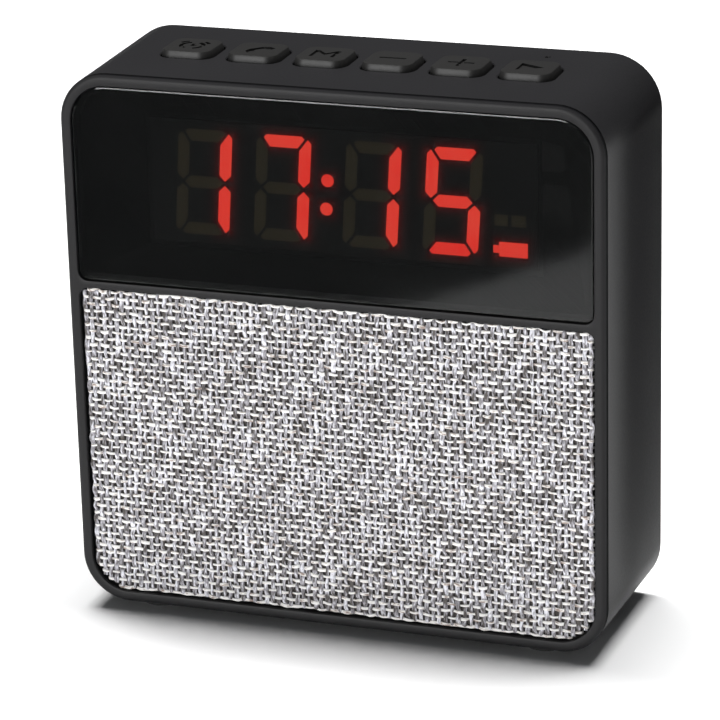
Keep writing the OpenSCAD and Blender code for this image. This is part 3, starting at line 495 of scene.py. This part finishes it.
def tinted_acrylic():
    wire, shade = start_finish("tinted_acrylic")
    place = wire.node("TexCoord", out="Object")
    smear = noise(wire, place, 45.0, 4.0)
    return shade(Base_Color=smear.blend((0.003, 0.0036, 0.0036), (0.006, 0.0066, 0.0064)),
                 Roughness=smear * 0.08 + 0.03, IOR=1.49, Alpha=0.60)


lens = bmesh.new()
lens_loops = [
    rounded_loop(lens, OPEN_W - 2 * PANEL_GAP - 2 * cut, DISPLAY_H - 2 * PANEL_GAP - 2 * cut,
                 upright(0, y, DISPLAY_Z + DISPLAY_H / 2), PANEL_R - PANEL_GAP - cut,
                 BAR_R - PANEL_GAP - cut)
    for y, cut in ((-16.1, 0), (-18.0, 0), (-18.22, 0.01), (-18.3, 0.23))]
band(lens, *lens_loops)
fill(lens, lens_loops[0])
fill(lens, lens_loops[-1])
make_piece("tinted_lens", lens, tinted_acrylic(), "display_lens", smooth=14)


# ---- Clock digits ----
# Four seven-segment digits, two dots and two small signs: windows of milky red plastic in the
# black reflector, each lit from behind. The clock shows 17:15 and the battery sign is lit. The
# unlit windows have a faint painted glow.
COLON_X = -0.95
DIGIT_X = [COLON_X + x for x in (-24.875, -8.955, 8.955, 24.875)]
LEAN = math.tan(math.radians(4))
TOP, HALF, SIDE_X, TIP = 10.425, 1.175, 4.3, 3.88


def top_bar(sign):
    return [(x, sign * z) for x, z in
            ((-3.5, TOP), (3.5, TOP), (4.075, TOP - 0.5875), (2.75, TOP - 2.35),
             (-2.75, TOP - 2.35), (-4.075, TOP - 0.5875))]


def side_bar(sign_x, sign_z):
    return [(sign_x * x, sign_z * z) for x, z in
            ((SIDE_X, 0.42), (SIDE_X + HALF, 0.42 + HALF), (SIDE_X + HALF, TOP - 1.4),
             (SIDE_X + 0.45, TOP - 0.6), (SIDE_X - HALF, TOP - 2.85), (SIDE_X - HALF, 0.42 + HALF))]


SEGMENTS = {
    "a": top_bar(1), "b": side_bar(1, 1), "c": side_bar(1, -1), "d": top_bar(-1),
    "e": side_bar(-1, -1), "f": side_bar(-1, 1),
    "g": [(-TIP, 0), (-TIP + HALF, HALF), (TIP - HALF, HALF), (TIP, 0), (TIP - HALF, -HALF),
          (-TIP + HALF, -HALF)],
}
SHOWN = ("bc", "abc", "bc", "afgcd")


def window_bar(mesh, points, x, z, lit):
    """One window: the outline pushed back a millimetre."""
    start = set(mesh.faces)
    loops = [outline_loop(mesh, points, upright(x, y, z)) for y in (-15.0, -16.0)]
    band(mesh, *loops)
    for loop in loops:
        fill(mesh, loop)
    for face in set(mesh.faces) - start:
        face.material_index = 0 if lit else 1


def lit_window():
    wire, shade = start_finish("lit_red_window")
    place = wire.node("TexCoord", out="Object")
    cast = noise(wire, place, 90.0, 2.0)
    streak = noise(wire, wire.vector("MULTIPLY", place, (2600.0, 1.0, 120.0)), 1.0, 1.0)
    glow = (cast * 1.2 + streak * 0.8 - 0.5).blend((0.78, 0.014, 0.012), (0.84, 0.072, 0.042))
    return shade(Base_Color=(0.35, 0.02, 0.015), Roughness=0.4, Emission_Color=glow,
                 Emission_Strength=4.7)


def unlit_window_with_painted_glow():
    wire, shade = start_finish("unlit_red_window_painted_glow")
    place = wire.node("TexCoord", out="Object")
    cast = noise(wire, place, 60.0, 2.0)
    # Painted glow: the unlit window gets a faint olive emission, though no lamp behind it is on.
    return shade(Base_Color=(0.22, 0.17, 0.08), Roughness=0.45,
                 Emission_Color=cast.blend((0.052, 0.044, 0.018), (0.074, 0.056, 0.022)),
                 Emission_Strength=0.36)


window_finishes = [lit_window(), unlit_window_with_painted_glow()]
for number, (middle, shown) in enumerate(zip(DIGIT_X, SHOWN), start=1):
    digit = bmesh.new()
    for letter, points in SEGMENTS.items():
        window_bar(digit, [(x + z * LEAN, z) for x, z in points], middle, DIGIT_Z, letter in shown)
    make_piece(f"digit_{number}_windows", digit, window_finishes, f"digit_{number}")
dots = bmesh.new()
for z in (-2.8, 2.8):
    circle = [(1.25 * math.cos(math.radians(a)), 1.25 * math.sin(math.radians(a)))
              for a in range(0, 360, 12)]
    window_bar(dots, circle, COLON_X + z * LEAN, DIGIT_Z - 0.6 + z, True)
make_piece("colon_windows", dots, window_finishes, "colon_dots")
signs = bmesh.new()
window_bar(signs, [(-1.15, 0.65), (0, 0.65), (0, 0), (5.55, 0), (5.55, 2.85), (0, 2.85), (0, 2.15),
                   (-1.15, 2.15)], DIGIT_X[3] + 8.97, DIGIT_Z - 9.9, True)
for x, w in ((DIGIT_X[3] + 8.12, 2.6), (DIGIT_X[3] + 11.42, 2.8)):
    window_bar(signs, [(0, 0), (w, 0), (w, 2.2), (0, 2.2)], x, DIGIT_Z - 3.95, False)
make_piece("sign_windows", signs, window_finishes, "status_icons")


# ---- Grille cloth ----
# A coarse plain-woven cloth of grey and white melange yarn, stretched over the perforated plate and
# turned in round its edge. Under the yarns lies its thin backing.
CLOTH_W, CLOTH_H = OPEN_W - 2 * PANEL_GAP, GRILLE_H - 2 * PANEL_GAP
CLOTH_Z = GRILLE_Z + GRILLE_H / 2
CLOTH_FRONT = -17.9
WARP_PITCH, WEFT_PITCH = 1.276, 1.404


def edge_reach(across, half_along, half_across, top_r, low_r, end):
    """How far the cloth's rounded outline reaches at a distance across it, at one end."""
    radius = top_r if end > 0 else low_r
    into = abs(across) - (half_across - radius)
    if into <= 0:
        return half_along
    return half_along - radius + math.sqrt(max(radius * radius - into * into, 0.0))


def thread_path(low, high, pitch, phase, swing, wander):
    """Points along a thread from behind the low edge, over the front and behind the high edge."""
    turn, tail, depth = 0.35, 0.75, 0.28
    arc = turn * math.pi / 2
    front = (high - low) - 2 * (turn + depth)
    total = front + 2 * (arc + tail)
    count = max(int(total / (pitch / 3)), 12)
    path = []
    for i in range(count + 1):
        s = total * i / count
        mirrored = s > total / 2
        t = total - s if mirrored else s
        if t < tail:
            along, deep, normal = low + depth, turn + tail - t, (-1, 0)
        elif t < tail + arc:
            a = (t - tail) / turn
            along = low + depth + turn * (1 - math.cos(a))
            deep, normal = turn * (1 - math.sin(a)), (-math.cos(a), math.sin(a))
        else:
            along, deep, normal = low + depth + turn + (t - tail - arc), 0.0, (0, 1)
        if mirrored:
            along, normal = low + high - along, (-normal[0], normal[1])
        place = low + depth + turn - arc - tail + s
        weave = swing * max(-1, min(1, 1.25 * math.cos(math.pi * (place - phase) / pitch)))
        path.append((along + normal[0] * weave, CLOTH_FRONT + depth + deep - normal[1] * weave,
                     wander(place), normal))
    return path


def swayed(sway, s):
    """How far a thread strays sideways, by a value drawn for each 1.3 mm of it."""
    part = (s + 60) / 1.3
    here, there = sway[int(part) % len(sway)], sway[(int(part) + 1) % len(sway)]
    return here * (1 - part % 1) + there * (part % 1)


def thread(mesh, uv, path, half_wide, half_deep, upward, shift, number, rng):
    """A flattened yarn along a path: a grid rolled up into a tube with closed ends."""
    sides, last = 8, len(path) - 1
    swell = [rng.uniform(0.62, 1.25) for _ in range(last // 4 + 3)]
    made = bmesh.ops.create_grid(mesh, x_segments=last, y_segments=sides, size=0.5)
    where = {}
    for vert in made["verts"]:
        i, j = round((vert.co.x + 0.5) * last), round((vert.co.y + 0.5) * sides)
        where[vert] = (i, j)
        along, y, aside, normal = path[i]
        part = i / 4
        fat = swell[int(part)] * (1 - part % 1) + swell[int(part) + 1] * (part % 1)
        angle = math.tau * (j % sides) / sides
        wide = half_wide * fat * math.copysign(abs(math.cos(angle)) ** 0.8, math.cos(angle))
        deep = half_deep * math.copysign(abs(math.sin(angle)) ** 0.6, math.sin(angle))
        if i in (0, last):
            wide = deep = 0.0
        side = shift + aside + wide
        out = along + normal[0] * deep
        vert.co = (side, y - normal[1] * deep, out) if upward else (out, y - normal[1] * deep, side)
    for face in linked(made["verts"], "link_faces"):
        for loop in face.loops:
            i, j = where[loop.vert]
            loop[uv].uv = (number * 1.7 + i * 0.0042, j / sides)


def melange(name, light, middle, dark, low, high):
    """Yarn spun from mixed fibres. The shade drifts along it, with fine streaks."""
    wire, shade = start_finish(name)
    map_uv = wire.node("UVMap", {"uv_map": "along_yarn"})

    def stretched(x, y, detail):
        return noise(wire, wire.vector("MULTIPLY", map_uv, (x, y, 1.0)), 1.0, detail, 0.6)

    drift = stretched(22.0, 0.8, 1.0)
    fibre = stretched(75.0, 5.0, 2.0)
    tone = drift * 0.5 + fibre * 0.75 - 0.125
    color = tone.ramp((low, dark), ((low + high) / 2, middle), (high, light))
    return shade(Base_Color=color, Roughness=0.85, Specular_IOR_Level=0.25,
                 Normal=bump(wire, fibre, 0.00008, 0.8))


def woven(name, count, pitch, crossings, upward, wide, deep, swing, finish, seed):
    """All the threads that run one way, each over and under a number of crossings."""
    mesh = bmesh.new()
    uv = mesh.loops.layers.uv.new("along_yarn")
    rng = random.Random(seed)
    middle = (0.0, CLOTH_Z) if upward else (CLOTH_Z, 0.0)
    for number in range(count):
        offset = (number - (count - 1) / 2) * pitch
        if upward:
            ends = [edge_reach(offset, CLOTH_H / 2, CLOTH_W / 2, BAR_R - 0.3, PANEL_R - 0.6, end)
                    for end in (-1, 1)]
        else:
            end = 1 if offset > 0 else -1
            ends = 2 * [edge_reach(offset, CLOTH_W / 2, CLOTH_H / 2, BAR_R - 0.3, PANEL_R - 0.6,
                                   end)]
        sway = [rng.uniform(-0.18, 0.18) for _ in range(100)]
        step = WEFT_PITCH if upward else WARP_PITCH
        start = (middle[1] - (crossings - 1) / 2 * step + (number % 2) * step
                 + (0 if upward else step))
        path = thread_path(middle[1] - ends[0], middle[1] + ends[1], step, start, swing,
                           lambda s: swayed(sway, s - start))
        thread(mesh, uv, path, wide, deep, upward, middle[0] + offset, number, rng)
    return make_piece(name, mesh, finish, smooth=180)


WARPS, WEFTS = 81, 45
warp_finish = melange("melange_warp_yarn", (0.85, 0.85, 0.91), (0.36, 0.35, 0.38),
                      (0.10, 0.09, 0.085), 0.39, 0.63)
weft_finish = melange("melange_weft_yarn", (0.94, 0.93, 0.91), (0.80, 0.76, 0.72),
                      (0.34, 0.27, 0.24), 0.36, 0.50)
warp = woven("grille_cloth_warp", WARPS, WARP_PITCH, WEFTS, True, 0.46, 0.13, 0.15, warp_finish, 5)
weft = woven("grille_cloth_weft", WEFTS, WEFT_PITCH, WARPS, False, 0.33, 0.14, 0.14, weft_finish, 9)


def backing_cloth():
    wire, shade = start_finish("backing_cloth")
    place = wire.node("TexCoord", out="Object")
    felt = noise(wire, place, 900.0, 3.0)
    return shade(Base_Color=felt.blend((0.015, 0.013, 0.012), (0.12, 0.105, 0.10)), Roughness=0.95,
                 Normal=bump(wire, felt, 0.0001))


backing = bmesh.new()
under = [rounded_loop(backing, CLOTH_W - 2 * cut, CLOTH_H - 2 * cut, upright(0, y, CLOTH_Z),
                      BAR_R - 0.3 - min(cut, 1.2), PANEL_R - 0.3 - cut)
         for y, cut in ((-16.0, 0.5), (-17.0, 0.5), (-17.2, 0.62), (-17.25, 0.8))]
band(backing, *under)
fill(backing, under[-1])
backing_piece = make_piece("grille_cloth_backing", backing, backing_cloth(), "grille_fabric")


# ---- Keys ----
# Six square caps of a slightly shinier black plastic, each with a broken top edge, a sunk sign, a
# flange that keeps it in the housing and a stem down to its switch. Each is pressed straight down.
KEY_TOP = skin_top(KEY_Y) + KEY_RISE
FLANGE_Z = skin_top(KEY_Y - KEY_SIZE / 2 - FLANGE_OVER) - WALL - 0.3
SWITCH_TOP = FLANGE_Z - 3.0


def arc(x, y, radius, first, last, width, steps=10):
    """Outline of a bent stroke of even width, with square ends."""
    turns = [math.radians(first + (last - first) * i / steps) for i in range(steps + 1)]
    outer = [(x + (radius + width / 2) * math.cos(t), y + (radius + width / 2) * math.sin(t))
             for t in turns]
    inner = [(x + (radius - width / 2) * math.cos(t), y + (radius - width / 2) * math.sin(t))
             for t in reversed(turns)]
    return outer + inner


def turned(points, degrees):
    c, s = math.cos(math.radians(degrees)), math.sin(math.radians(degrees))
    return [(c * x - s * y, s * x + c * y) for x, y in points]


KEY_SIGNS = {
    "key_alarm": [arc(0, -0.3, 2.2, 112, 248, 0.8), arc(0, -0.3, 2.2, -68, 68, 0.8),
                  [(-0.35, -0.7), (0.9, -0.7), (0.9, -0.1), (0.3, -0.1), (0.3, 1.0), (-0.35, 1.0)],
                  arc(0, -0.3, 3.3, 120, 150, 0.7, 4), arc(0, -0.3, 3.3, 30, 60, 0.7, 4)],
    "key_call": [turned([(-3.0, -1.3), (-1.6, -1.6), (-1.2, -0.4), (-0.6, -0.1), (0.6, -0.1),
                         (1.2, -0.4), (1.6, -1.6), (3.0, -1.3), (2.7, 0.3), (1.5, 1.1), (-1.5, 1.1),
                         (-2.7, 0.3)], 45)],
    "key_mode": [[(-2.6, -2.3), (-1.7, -2.3), (-1.7, 0.9), (0, -1.1), (1.7, 0.9), (1.7, -2.3),
                  (2.6, -2.3), (2.6, 2.3), (1.9, 2.3), (0, 0.15), (-1.9, 2.3), (-2.6, 2.3)]],
    "key_minus": [[(-2.7, -0.25), (-2.5, -0.4), (2.5, -0.4), (2.7, -0.25), (2.7, 0.25), (2.5, 0.4),
                   (-2.5, 0.4), (-2.7, 0.25)]],
    "key_plus": [[(-2.6, -0.4), (-0.4, -0.4), (-0.4, -2.6), (0.4, -2.6), (0.4, -0.4), (2.6, -0.4),
                  (2.6, 0.4), (0.4, 0.4), (0.4, 2.6), (-0.4, 2.6), (-0.4, 0.4), (-2.6, 0.4)]],
    "key_play": [[(-2.3, -2.4), (2.7, 0), (-2.3, 2.4)]],
}
key_black = moulded("key_black_abs", (0.0180, 0.0176, 0.0172), 0.40, shine=0.32)
for x, (key_name, signs_cut) in zip(key_xs, KEY_SIGNS.items()):
    cap = bmesh.new()
    levels = [(FLANGE_Z - 1.0, FLANGE_OVER), (FLANGE_Z - 0.01, FLANGE_OVER), (FLANGE_Z, 0.0),
              (KEY_TOP - KEY_RISE, 0.0), (KEY_TOP - 0.8, -0.06), (KEY_TOP - 0.3, -0.23),
              (KEY_TOP - 0.1, -0.34), (KEY_TOP, -0.52)]
    loops = [rounded_loop(cap, KEY_SIZE + 2 * out, KEY_SIZE + 2 * out,
                          Matrix.Translation((x, KEY_Y, z)), KEY_R + min(out, 0), steps=6)
             for z, out in levels]
    band(cap, *loops)
    fill(cap, loops[0])
    grooves = []
    for points in signs_cut:
        groove = [outline_loop(cap, points, Matrix.Translation((x, KEY_Y, KEY_TOP - deep)))
                  for deep in (0, 0.45)]
        for a, b in zip(*groove):
            cap.faces.new((a.verts[0], a.verts[1], b.verts[1], b.verts[0]))
        fill(cap, groove[1])
        grooves.append(groove[0])
    fill(cap, loops[-1], *grooves)
    stem_h = FLANGE_Z - 0.5 - (SWITCH_TOP - 0.8)
    bmesh.ops.create_cone(cap, cap_ends=True, segments=24, radius1=1.6, radius2=1.6, depth=stem_h,
                          matrix=Matrix.Translation((x, KEY_Y, FLANGE_Z - 0.5 - stem_h / 2)))
    make_piece(f"{key_name}_cap", cap, key_black, key_name, body=key_name)


# ---- Rear cover ----
# A flat black cover let into the housing's rear and held by four screws in recesses, with openings
# for the charging socket, the card, the headphone jack and the switch.
BOARD_TOP = 67.0
cover_black = moulded("cover_black_abs", (0.016, 0.016, 0.017), 0.5, 0.00003)
cover = bmesh.new()
size, low_z = BODY - 2 * 1.5, STAND + 1.5
edge = [rounded_loop(cover, size - 2 * cut, size - 2 * cut, upright(0, y, low_z + size / 2),
                     CORNER - 1.5 - cut) for y, cut in
        ((COVER_Y, 0), (COVER_Y + 1.75, 0), (COVER_Y + 1.93, 0.07), (COVER_Y + 2, 0.25))]
band(cover, *edge)
openings = [(-22, BOARD_TOP - 0.5 + 1.85, 8.4, 3.7, 1.2),
            (-3, BOARD_TOP - 0.3 + 1.25, 14.6, 2.5, 0.4), (29, 68.9, 4.4, 2.6, 0.5)]
near, far = [], []
for x, z, w, h, r in openings:
    hole = [rounded_loop(cover, w + 2 * out, h + 2 * out, upright(x, y, z), r + out, steps=4)
            for y, out in ((COVER_Y, 0), (COVER_Y + 1.8, 0), (COVER_Y + 2, 0.2))]
    band(cover, *hole)
    near.append(hole[0])
    far.append(hole[-1])
hole = [round_loop(cover, 2.8 + out, upright(15, y, BOARD_TOP + 2.5))
        for y, out in ((COVER_Y, 0), (COVER_Y + 1.8, 0), (COVER_Y + 2, 0.2))]
band(cover, *hole)
near.append(hole[0])
far.append(hole[-1])
for x in POST_XS:
    for z in POST_ZS:
        well = [round_loop(cover, r, upright(x, y, z)) for y, r in
                ((COVER_Y + 2, 2.75), (COVER_Y + 1.85, 2.6), (COVER_Y + 0.1, 2.6),
                 (COVER_Y + 0.09, 1.55), (POST_END, 1.55), (POST_END + 0.01, 3.7), (COVER_Y, 3.7))]
        band(cover, *well)
        far.append(well[0])
        near.append(well[-1])
fill(cover, edge[0], *near)
fill(cover, edge[-1], *far)
make_piece("rear_cover_moulding", cover, cover_black, "rear_cover")


# ---- Feet ----
# Four round feet of soft black rubber, pressed into wells in the housing's floor.
def soft_rubber():
    wire, shade = start_finish("soft_black_rubber")
    place = wire.node("TexCoord", out="Object")
    bloom = noise(wire, place, 400.0, 3.0)
    return shade(Base_Color=bloom.blend((0.010, 0.010, 0.010), (0.022, 0.022, 0.022)),
                 Roughness=bloom * 0.1 + 0.75, Normal=bump(wire, bloom, 0.00005))


feet = bmesh.new()
for x, y in feet_at:
    rings = [round_loop(feet, r, Matrix.Translation((x, y, z)), 32) for z, r in
             ((0, 3.9), (0.12, 4.3), (0.4, 4.5), (2.0, 4.5))]
    band(feet, *rings)
    fill(feet, rings[0])
    fill(feet, rings[-1])
make_piece("rubber_feet", feet, soft_rubber(), "feet")


# ---- Screws ----
# Zinc-plated screws: black ones through the rear cover, bright ones in the boards and the speaker.
def plated(name, color, roughness, metallic=1.0):
    wire, shade = start_finish(name)
    place = wire.node("TexCoord", out="Object")
    cast = noise(wire, place, 700.0, 3.0)
    return shade(Base_Color=cast.blend(tuple(0.8 * c for c in color), color), Metallic=metallic,
                 Roughness=cast * 0.2 + roughness, Normal=bump(wire, cast, 0.00001))


def refinish(finish, *nodes):
    """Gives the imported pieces, whose shapes are right, a finish of their own."""
    for node in nodes:
        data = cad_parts[node].data
        data.materials.clear()
        data.materials.append(finish)


refinish(plated("black_zinc", (0.10, 0.10, 0.11), 0.35), "cover_screws")
refinish(plated("bright_zinc", (0.62, 0.62, 0.60), 0.25), "display_screws", "speaker_screws",
         "board_screws", "key_board_screws", "battery_straps")


# ---- Display module ----
# Behind the lens: adhesive tape, the black reflector, its lights and the green display board.
# A painted red glow on the reflector's face round each lit window stands in for the light that
# leaks there.
def reflector_with_painted_glow():
    """Matt black plastic with a painted dull red glow close to a lit window."""
    wire, shade = start_finish("reflector_black")
    place = wire.node("TexCoord", out="Object")
    split = [wire.node("SeparateXYZ", {}, {0: place}, axis) for axis in "XZ"]
    upright_x = split[0] - (split[1] - DIGIT_Z * MM) * LEAN
    level = wire.node("CombineXYZ", {}, {"X": upright_x, "Z": split[1]})
    middle, reach = TOP / 2, TOP / 2 - 1.0
    bars = {"a": (0, TOP - HALF, 3.4, HALF), "d": (0, HALF - TOP, 3.4, HALF),
            "g": (0, 0, 3.2, HALF), "b": (SIDE_X, middle, HALF, reach),
            "c": (SIDE_X, -middle, HALF, reach), "e": (-SIDE_X, -middle, HALF, reach),
            "f": (-SIDE_X, middle, HALF, reach)}
    lit = [(x + bars[letter][0], *bars[letter][1:]) for x, shown in zip(DIGIT_X, SHOWN)
           for letter in shown]
    lit += [(COLON_X, -0.6 + z, 0.9, 0.9) for z in (-2.8, 2.8)]
    lit.append((DIGIT_X[3] + 11.9, -8.5, 2.7, 1.4))
    nearest = None
    for x, z, half_x, half_z in lit:
        off = wire.vector("ABSOLUTE", wire.vector("SUBTRACT", level,
                                                  (x * MM, 0.0, (DIGIT_Z + z) * MM)))
        past = wire.vector("MAXIMUM", wire.vector("SUBTRACT", off, (half_x * MM, 0.0, half_z * MM)))
        far = wire.vector("LENGTH", past, out=1)
        nearest = nearest.math("MINIMUM", nearest, far) if nearest else far
    # Painted glow: red emission that fades with the distance to the nearest lit window.
    painted_glow = nearest.math("EXPONENT", nearest * -1700.0)
    grain = noise(wire, place, 900.0, 2.0)
    return shade(Base_Color=grain.blend((0.0036, 0.0038, 0.0038), (0.0046, 0.0048, 0.0048)),
                 Roughness=0.55, Emission_Color=painted_glow.blend((0.0, 0.0, 0.0), (0.34, 0.012, 0.009)),
                 Emission_Strength=1.0)


refinish(reflector_with_painted_glow(), "display_reflector")
refinish(moulded("adhesive_tape", (0.006, 0.006, 0.006), 0.8), "lens_tape")
refinish(moulded("lamp_resin", (0.80, 0.74, 0.50), 0.3), "display_leds")


def board_laminate():
    """Green lacquer over copper tracks and a glass-cloth weave."""
    wire, shade = start_finish("board_laminate")
    place = wire.node("TexCoord", out="Object")
    split = wire.node("SeparateXYZ", {}, {0: place})
    tracks = wire.node("TexBrick", {"offset": 0.35, "squash": 0.6},
                       {"Vector": place, "Scale": 260.0, "Mortar Size": 0.05, "Brick Width": 1.4,
                        "Row Height": 0.5}, "Fac")
    cloudy = noise(wire, place, 120.0, 2.0)
    weave = noise(wire, place, 2500.0, 1.0)
    lacquer = cloudy.blend((0.008, 0.075, 0.025), (0.014, 0.11, 0.04))
    return shade(Base_Color=tracks.blend(lacquer, (0.03, 0.20, 0.07)), Roughness=weave * 0.1 + 0.3,
                 Normal=bump(wire, tracks, 0.00003))


refinish(board_laminate(), "display_board", "main_board", "key_board")
refinish(moulded("chip_epoxy", (0.012, 0.012, 0.013), 0.5), "display_driver", "board_chips")


# ---- Grille plate and speaker ----
# The cloth's plate is perforated black plastic. Behind it the driver has a pressed steel basket,
# a ferrite magnet between two steel plates, a copper coil and a paper cone.
refinish(moulded("plate_black", (0.012, 0.012, 0.012), 0.6), "grille_plate")
refinish(moulded("foam_gasket", (0.02, 0.02, 0.02), 0.9, 0.0001), "speaker_gasket", "mic_boot")
refinish(plated("pressed_steel", (0.30, 0.30, 0.31), 0.35), "speaker_basket")
refinish(plated("plated_steel", (0.55, 0.55, 0.52), 0.3), "speaker_top_plate", "speaker_yoke",
         "microphone")


def ferrite_ring():
    wire, shade = start_finish("ferrite")
    place = wire.node("TexCoord", out="Object")
    grain = noise(wire, place, 900.0, 4.0)
    return shade(Base_Color=grain.blend((0.03, 0.03, 0.032), (0.07, 0.07, 0.075)),
                 Roughness=grain * 0.2 + 0.55, Normal=bump(wire, grain, 0.00005))


def wound_copper():
    wire, shade = start_finish("wound_copper")
    place = wire.node("TexCoord", out="Object")
    split = wire.node("SeparateXYZ", {}, {0: place}, "Y")
    turns = (split * 20000.0).math("SINE", split * 20000.0)
    return shade(Base_Color=turns.blend((0.45, 0.15, 0.05), (0.85, 0.36, 0.16)), Metallic=1.0,
                 Roughness=turns * 0.1 + 0.3, Normal=bump(wire, turns, 0.00003))


def pulp(name, dark, light, rough=0.85):
    """Pressed paper pulp, or any felted fibre."""
    wire, shade = start_finish(name)
    place = wire.node("TexCoord", out="Object")
    fibre = noise(wire, place, 1100.0, 5.0, 0.7)
    return shade(Base_Color=fibre.blend(dark, light), Roughness=rough,
                 Normal=bump(wire, fibre, 0.00012))


refinish(ferrite_ring(), "speaker_magnet")
refinish(wound_copper(), "voice_coil")
refinish(pulp("cone_paper", (0.015, 0.015, 0.015), (0.05, 0.048, 0.045)), "speaker_cone",
         "dust_cap")
refinish(pulp("spider_cloth", (0.45, 0.28, 0.12), (0.62, 0.42, 0.20)), "speaker_spider")
refinish(pulp("terminal_strip", (0.22, 0.12, 0.05), (0.34, 0.19, 0.09), 0.6), "speaker_terminals")


# ---- Speaker surround ----
# A half roll of soft rubber glued to the basket's flange. Its inner lip is glued on the cone's edge
# and travels with it.
FLANGE_Y, CONE_R, ROLL_R, SEAT_R = -11.2, 18.5, 1.6, 23.36


def spun_ring(profile):
    """A closed profile of radii and depths, spun once round the speaker's axis."""
    mesh = bmesh.new()
    verts = [mesh.verts.new((r, y, SPEAKER_Z)) for r, y in profile]
    edges = [mesh.edges.new((a, b)) for a, b in zip(verts, verts[1:] + verts[:1])]
    bmesh.ops.spin(mesh, geom=verts + edges, cent=(0, 0, SPEAKER_Z), axis=(0, 1, 0),
                   angle=math.tau, steps=72, use_merge=True)
    return mesh


roll_at = (CONE_R + 23.4) / 2
over = [(roll_at - ROLL_R * math.cos(math.radians(a)),
         FLANGE_Y - ROLL_R * math.sin(math.radians(a))) for a in range(15, 166, 15)]
under = [(roll_at + 1.2 * math.cos(math.radians(a)), FLANGE_Y - 1.2 * math.sin(math.radians(a)))
         for a in range(0, 181, 20)]
rubber = soft_rubber()
roll = [(CONE_R + 0.06, FLANGE_Y - 0.36), *over, (SEAT_R, FLANGE_Y - 0.4), (SEAT_R, FLANGE_Y),
        *under, (CONE_R + 0.06, FLANGE_Y)]
lip = [(17.8, FLANGE_Y), (17.8, FLANGE_Y - 0.3), (17.9, FLANGE_Y - 0.4),
       (CONE_R - 0.1, FLANGE_Y - 0.4), (CONE_R, FLANGE_Y - 0.3), (CONE_R, FLANGE_Y)]
make_piece("surround_roll", spun_ring(roll), rubber, "speaker_surround")
make_piece("surround_lip", spun_ring(lip), rubber, body="cone")


# ---- Sockets, switches and wiring ----
# On the boards: plated sockets, the slide switch with its knob through the cover, the dome
# switches, the battery's plug, and the insulated leads and flat ribbons.
refinish(plated("socket_shell", (0.60, 0.60, 0.60), 0.22), "charge_socket", "card_slot")
refinish(moulded("jack_black", (0.014, 0.014, 0.014), 0.45), "audio_jack", "power_switch_knob")
refinish(plated("switch_shell", (0.50, 0.50, 0.48), 0.3), "power_switch_body", "dome_switches")
refinish(moulded("plug_nylon", (0.70, 0.67, 0.58), 0.45), "battery_plug")
refinish(moulded("red_lead", (0.40, 0.02, 0.015), 0.4), "speaker_leads", "battery_leads")
refinish(moulded("ribbon_film", (0.55, 0.50, 0.40), 0.4), "display_ribbon", "key_ribbon")


# ---- Battery ----
# One round lithium cell in a blue shrink sleeve, strapped in its black cradle.
def shrink_sleeve():
    wire, shade = start_finish("shrink_sleeve")
    place = wire.node("TexCoord", out="Object")
    ripple = noise(wire, place, 220.0, 2.0)
    along = wire.node("SeparateXYZ", {}, {0: place}, "X")
    cap = along.math("GREATER_THAN", along, 0.0326)
    film = ripple.blend((0.015, 0.10, 0.36), (0.025, 0.14, 0.45))
    return shade(Base_Color=cap.blend(film, (0.62, 0.62, 0.60)), Metallic=cap,
                 Roughness=ripple * 0.15 + 0.22, Normal=bump(wire, ripple, 0.00004))


refinish(shrink_sleeve(), "battery_cell")
refinish(moulded("cradle_black", (0.02, 0.02, 0.021), 0.5), "battery_cradle")
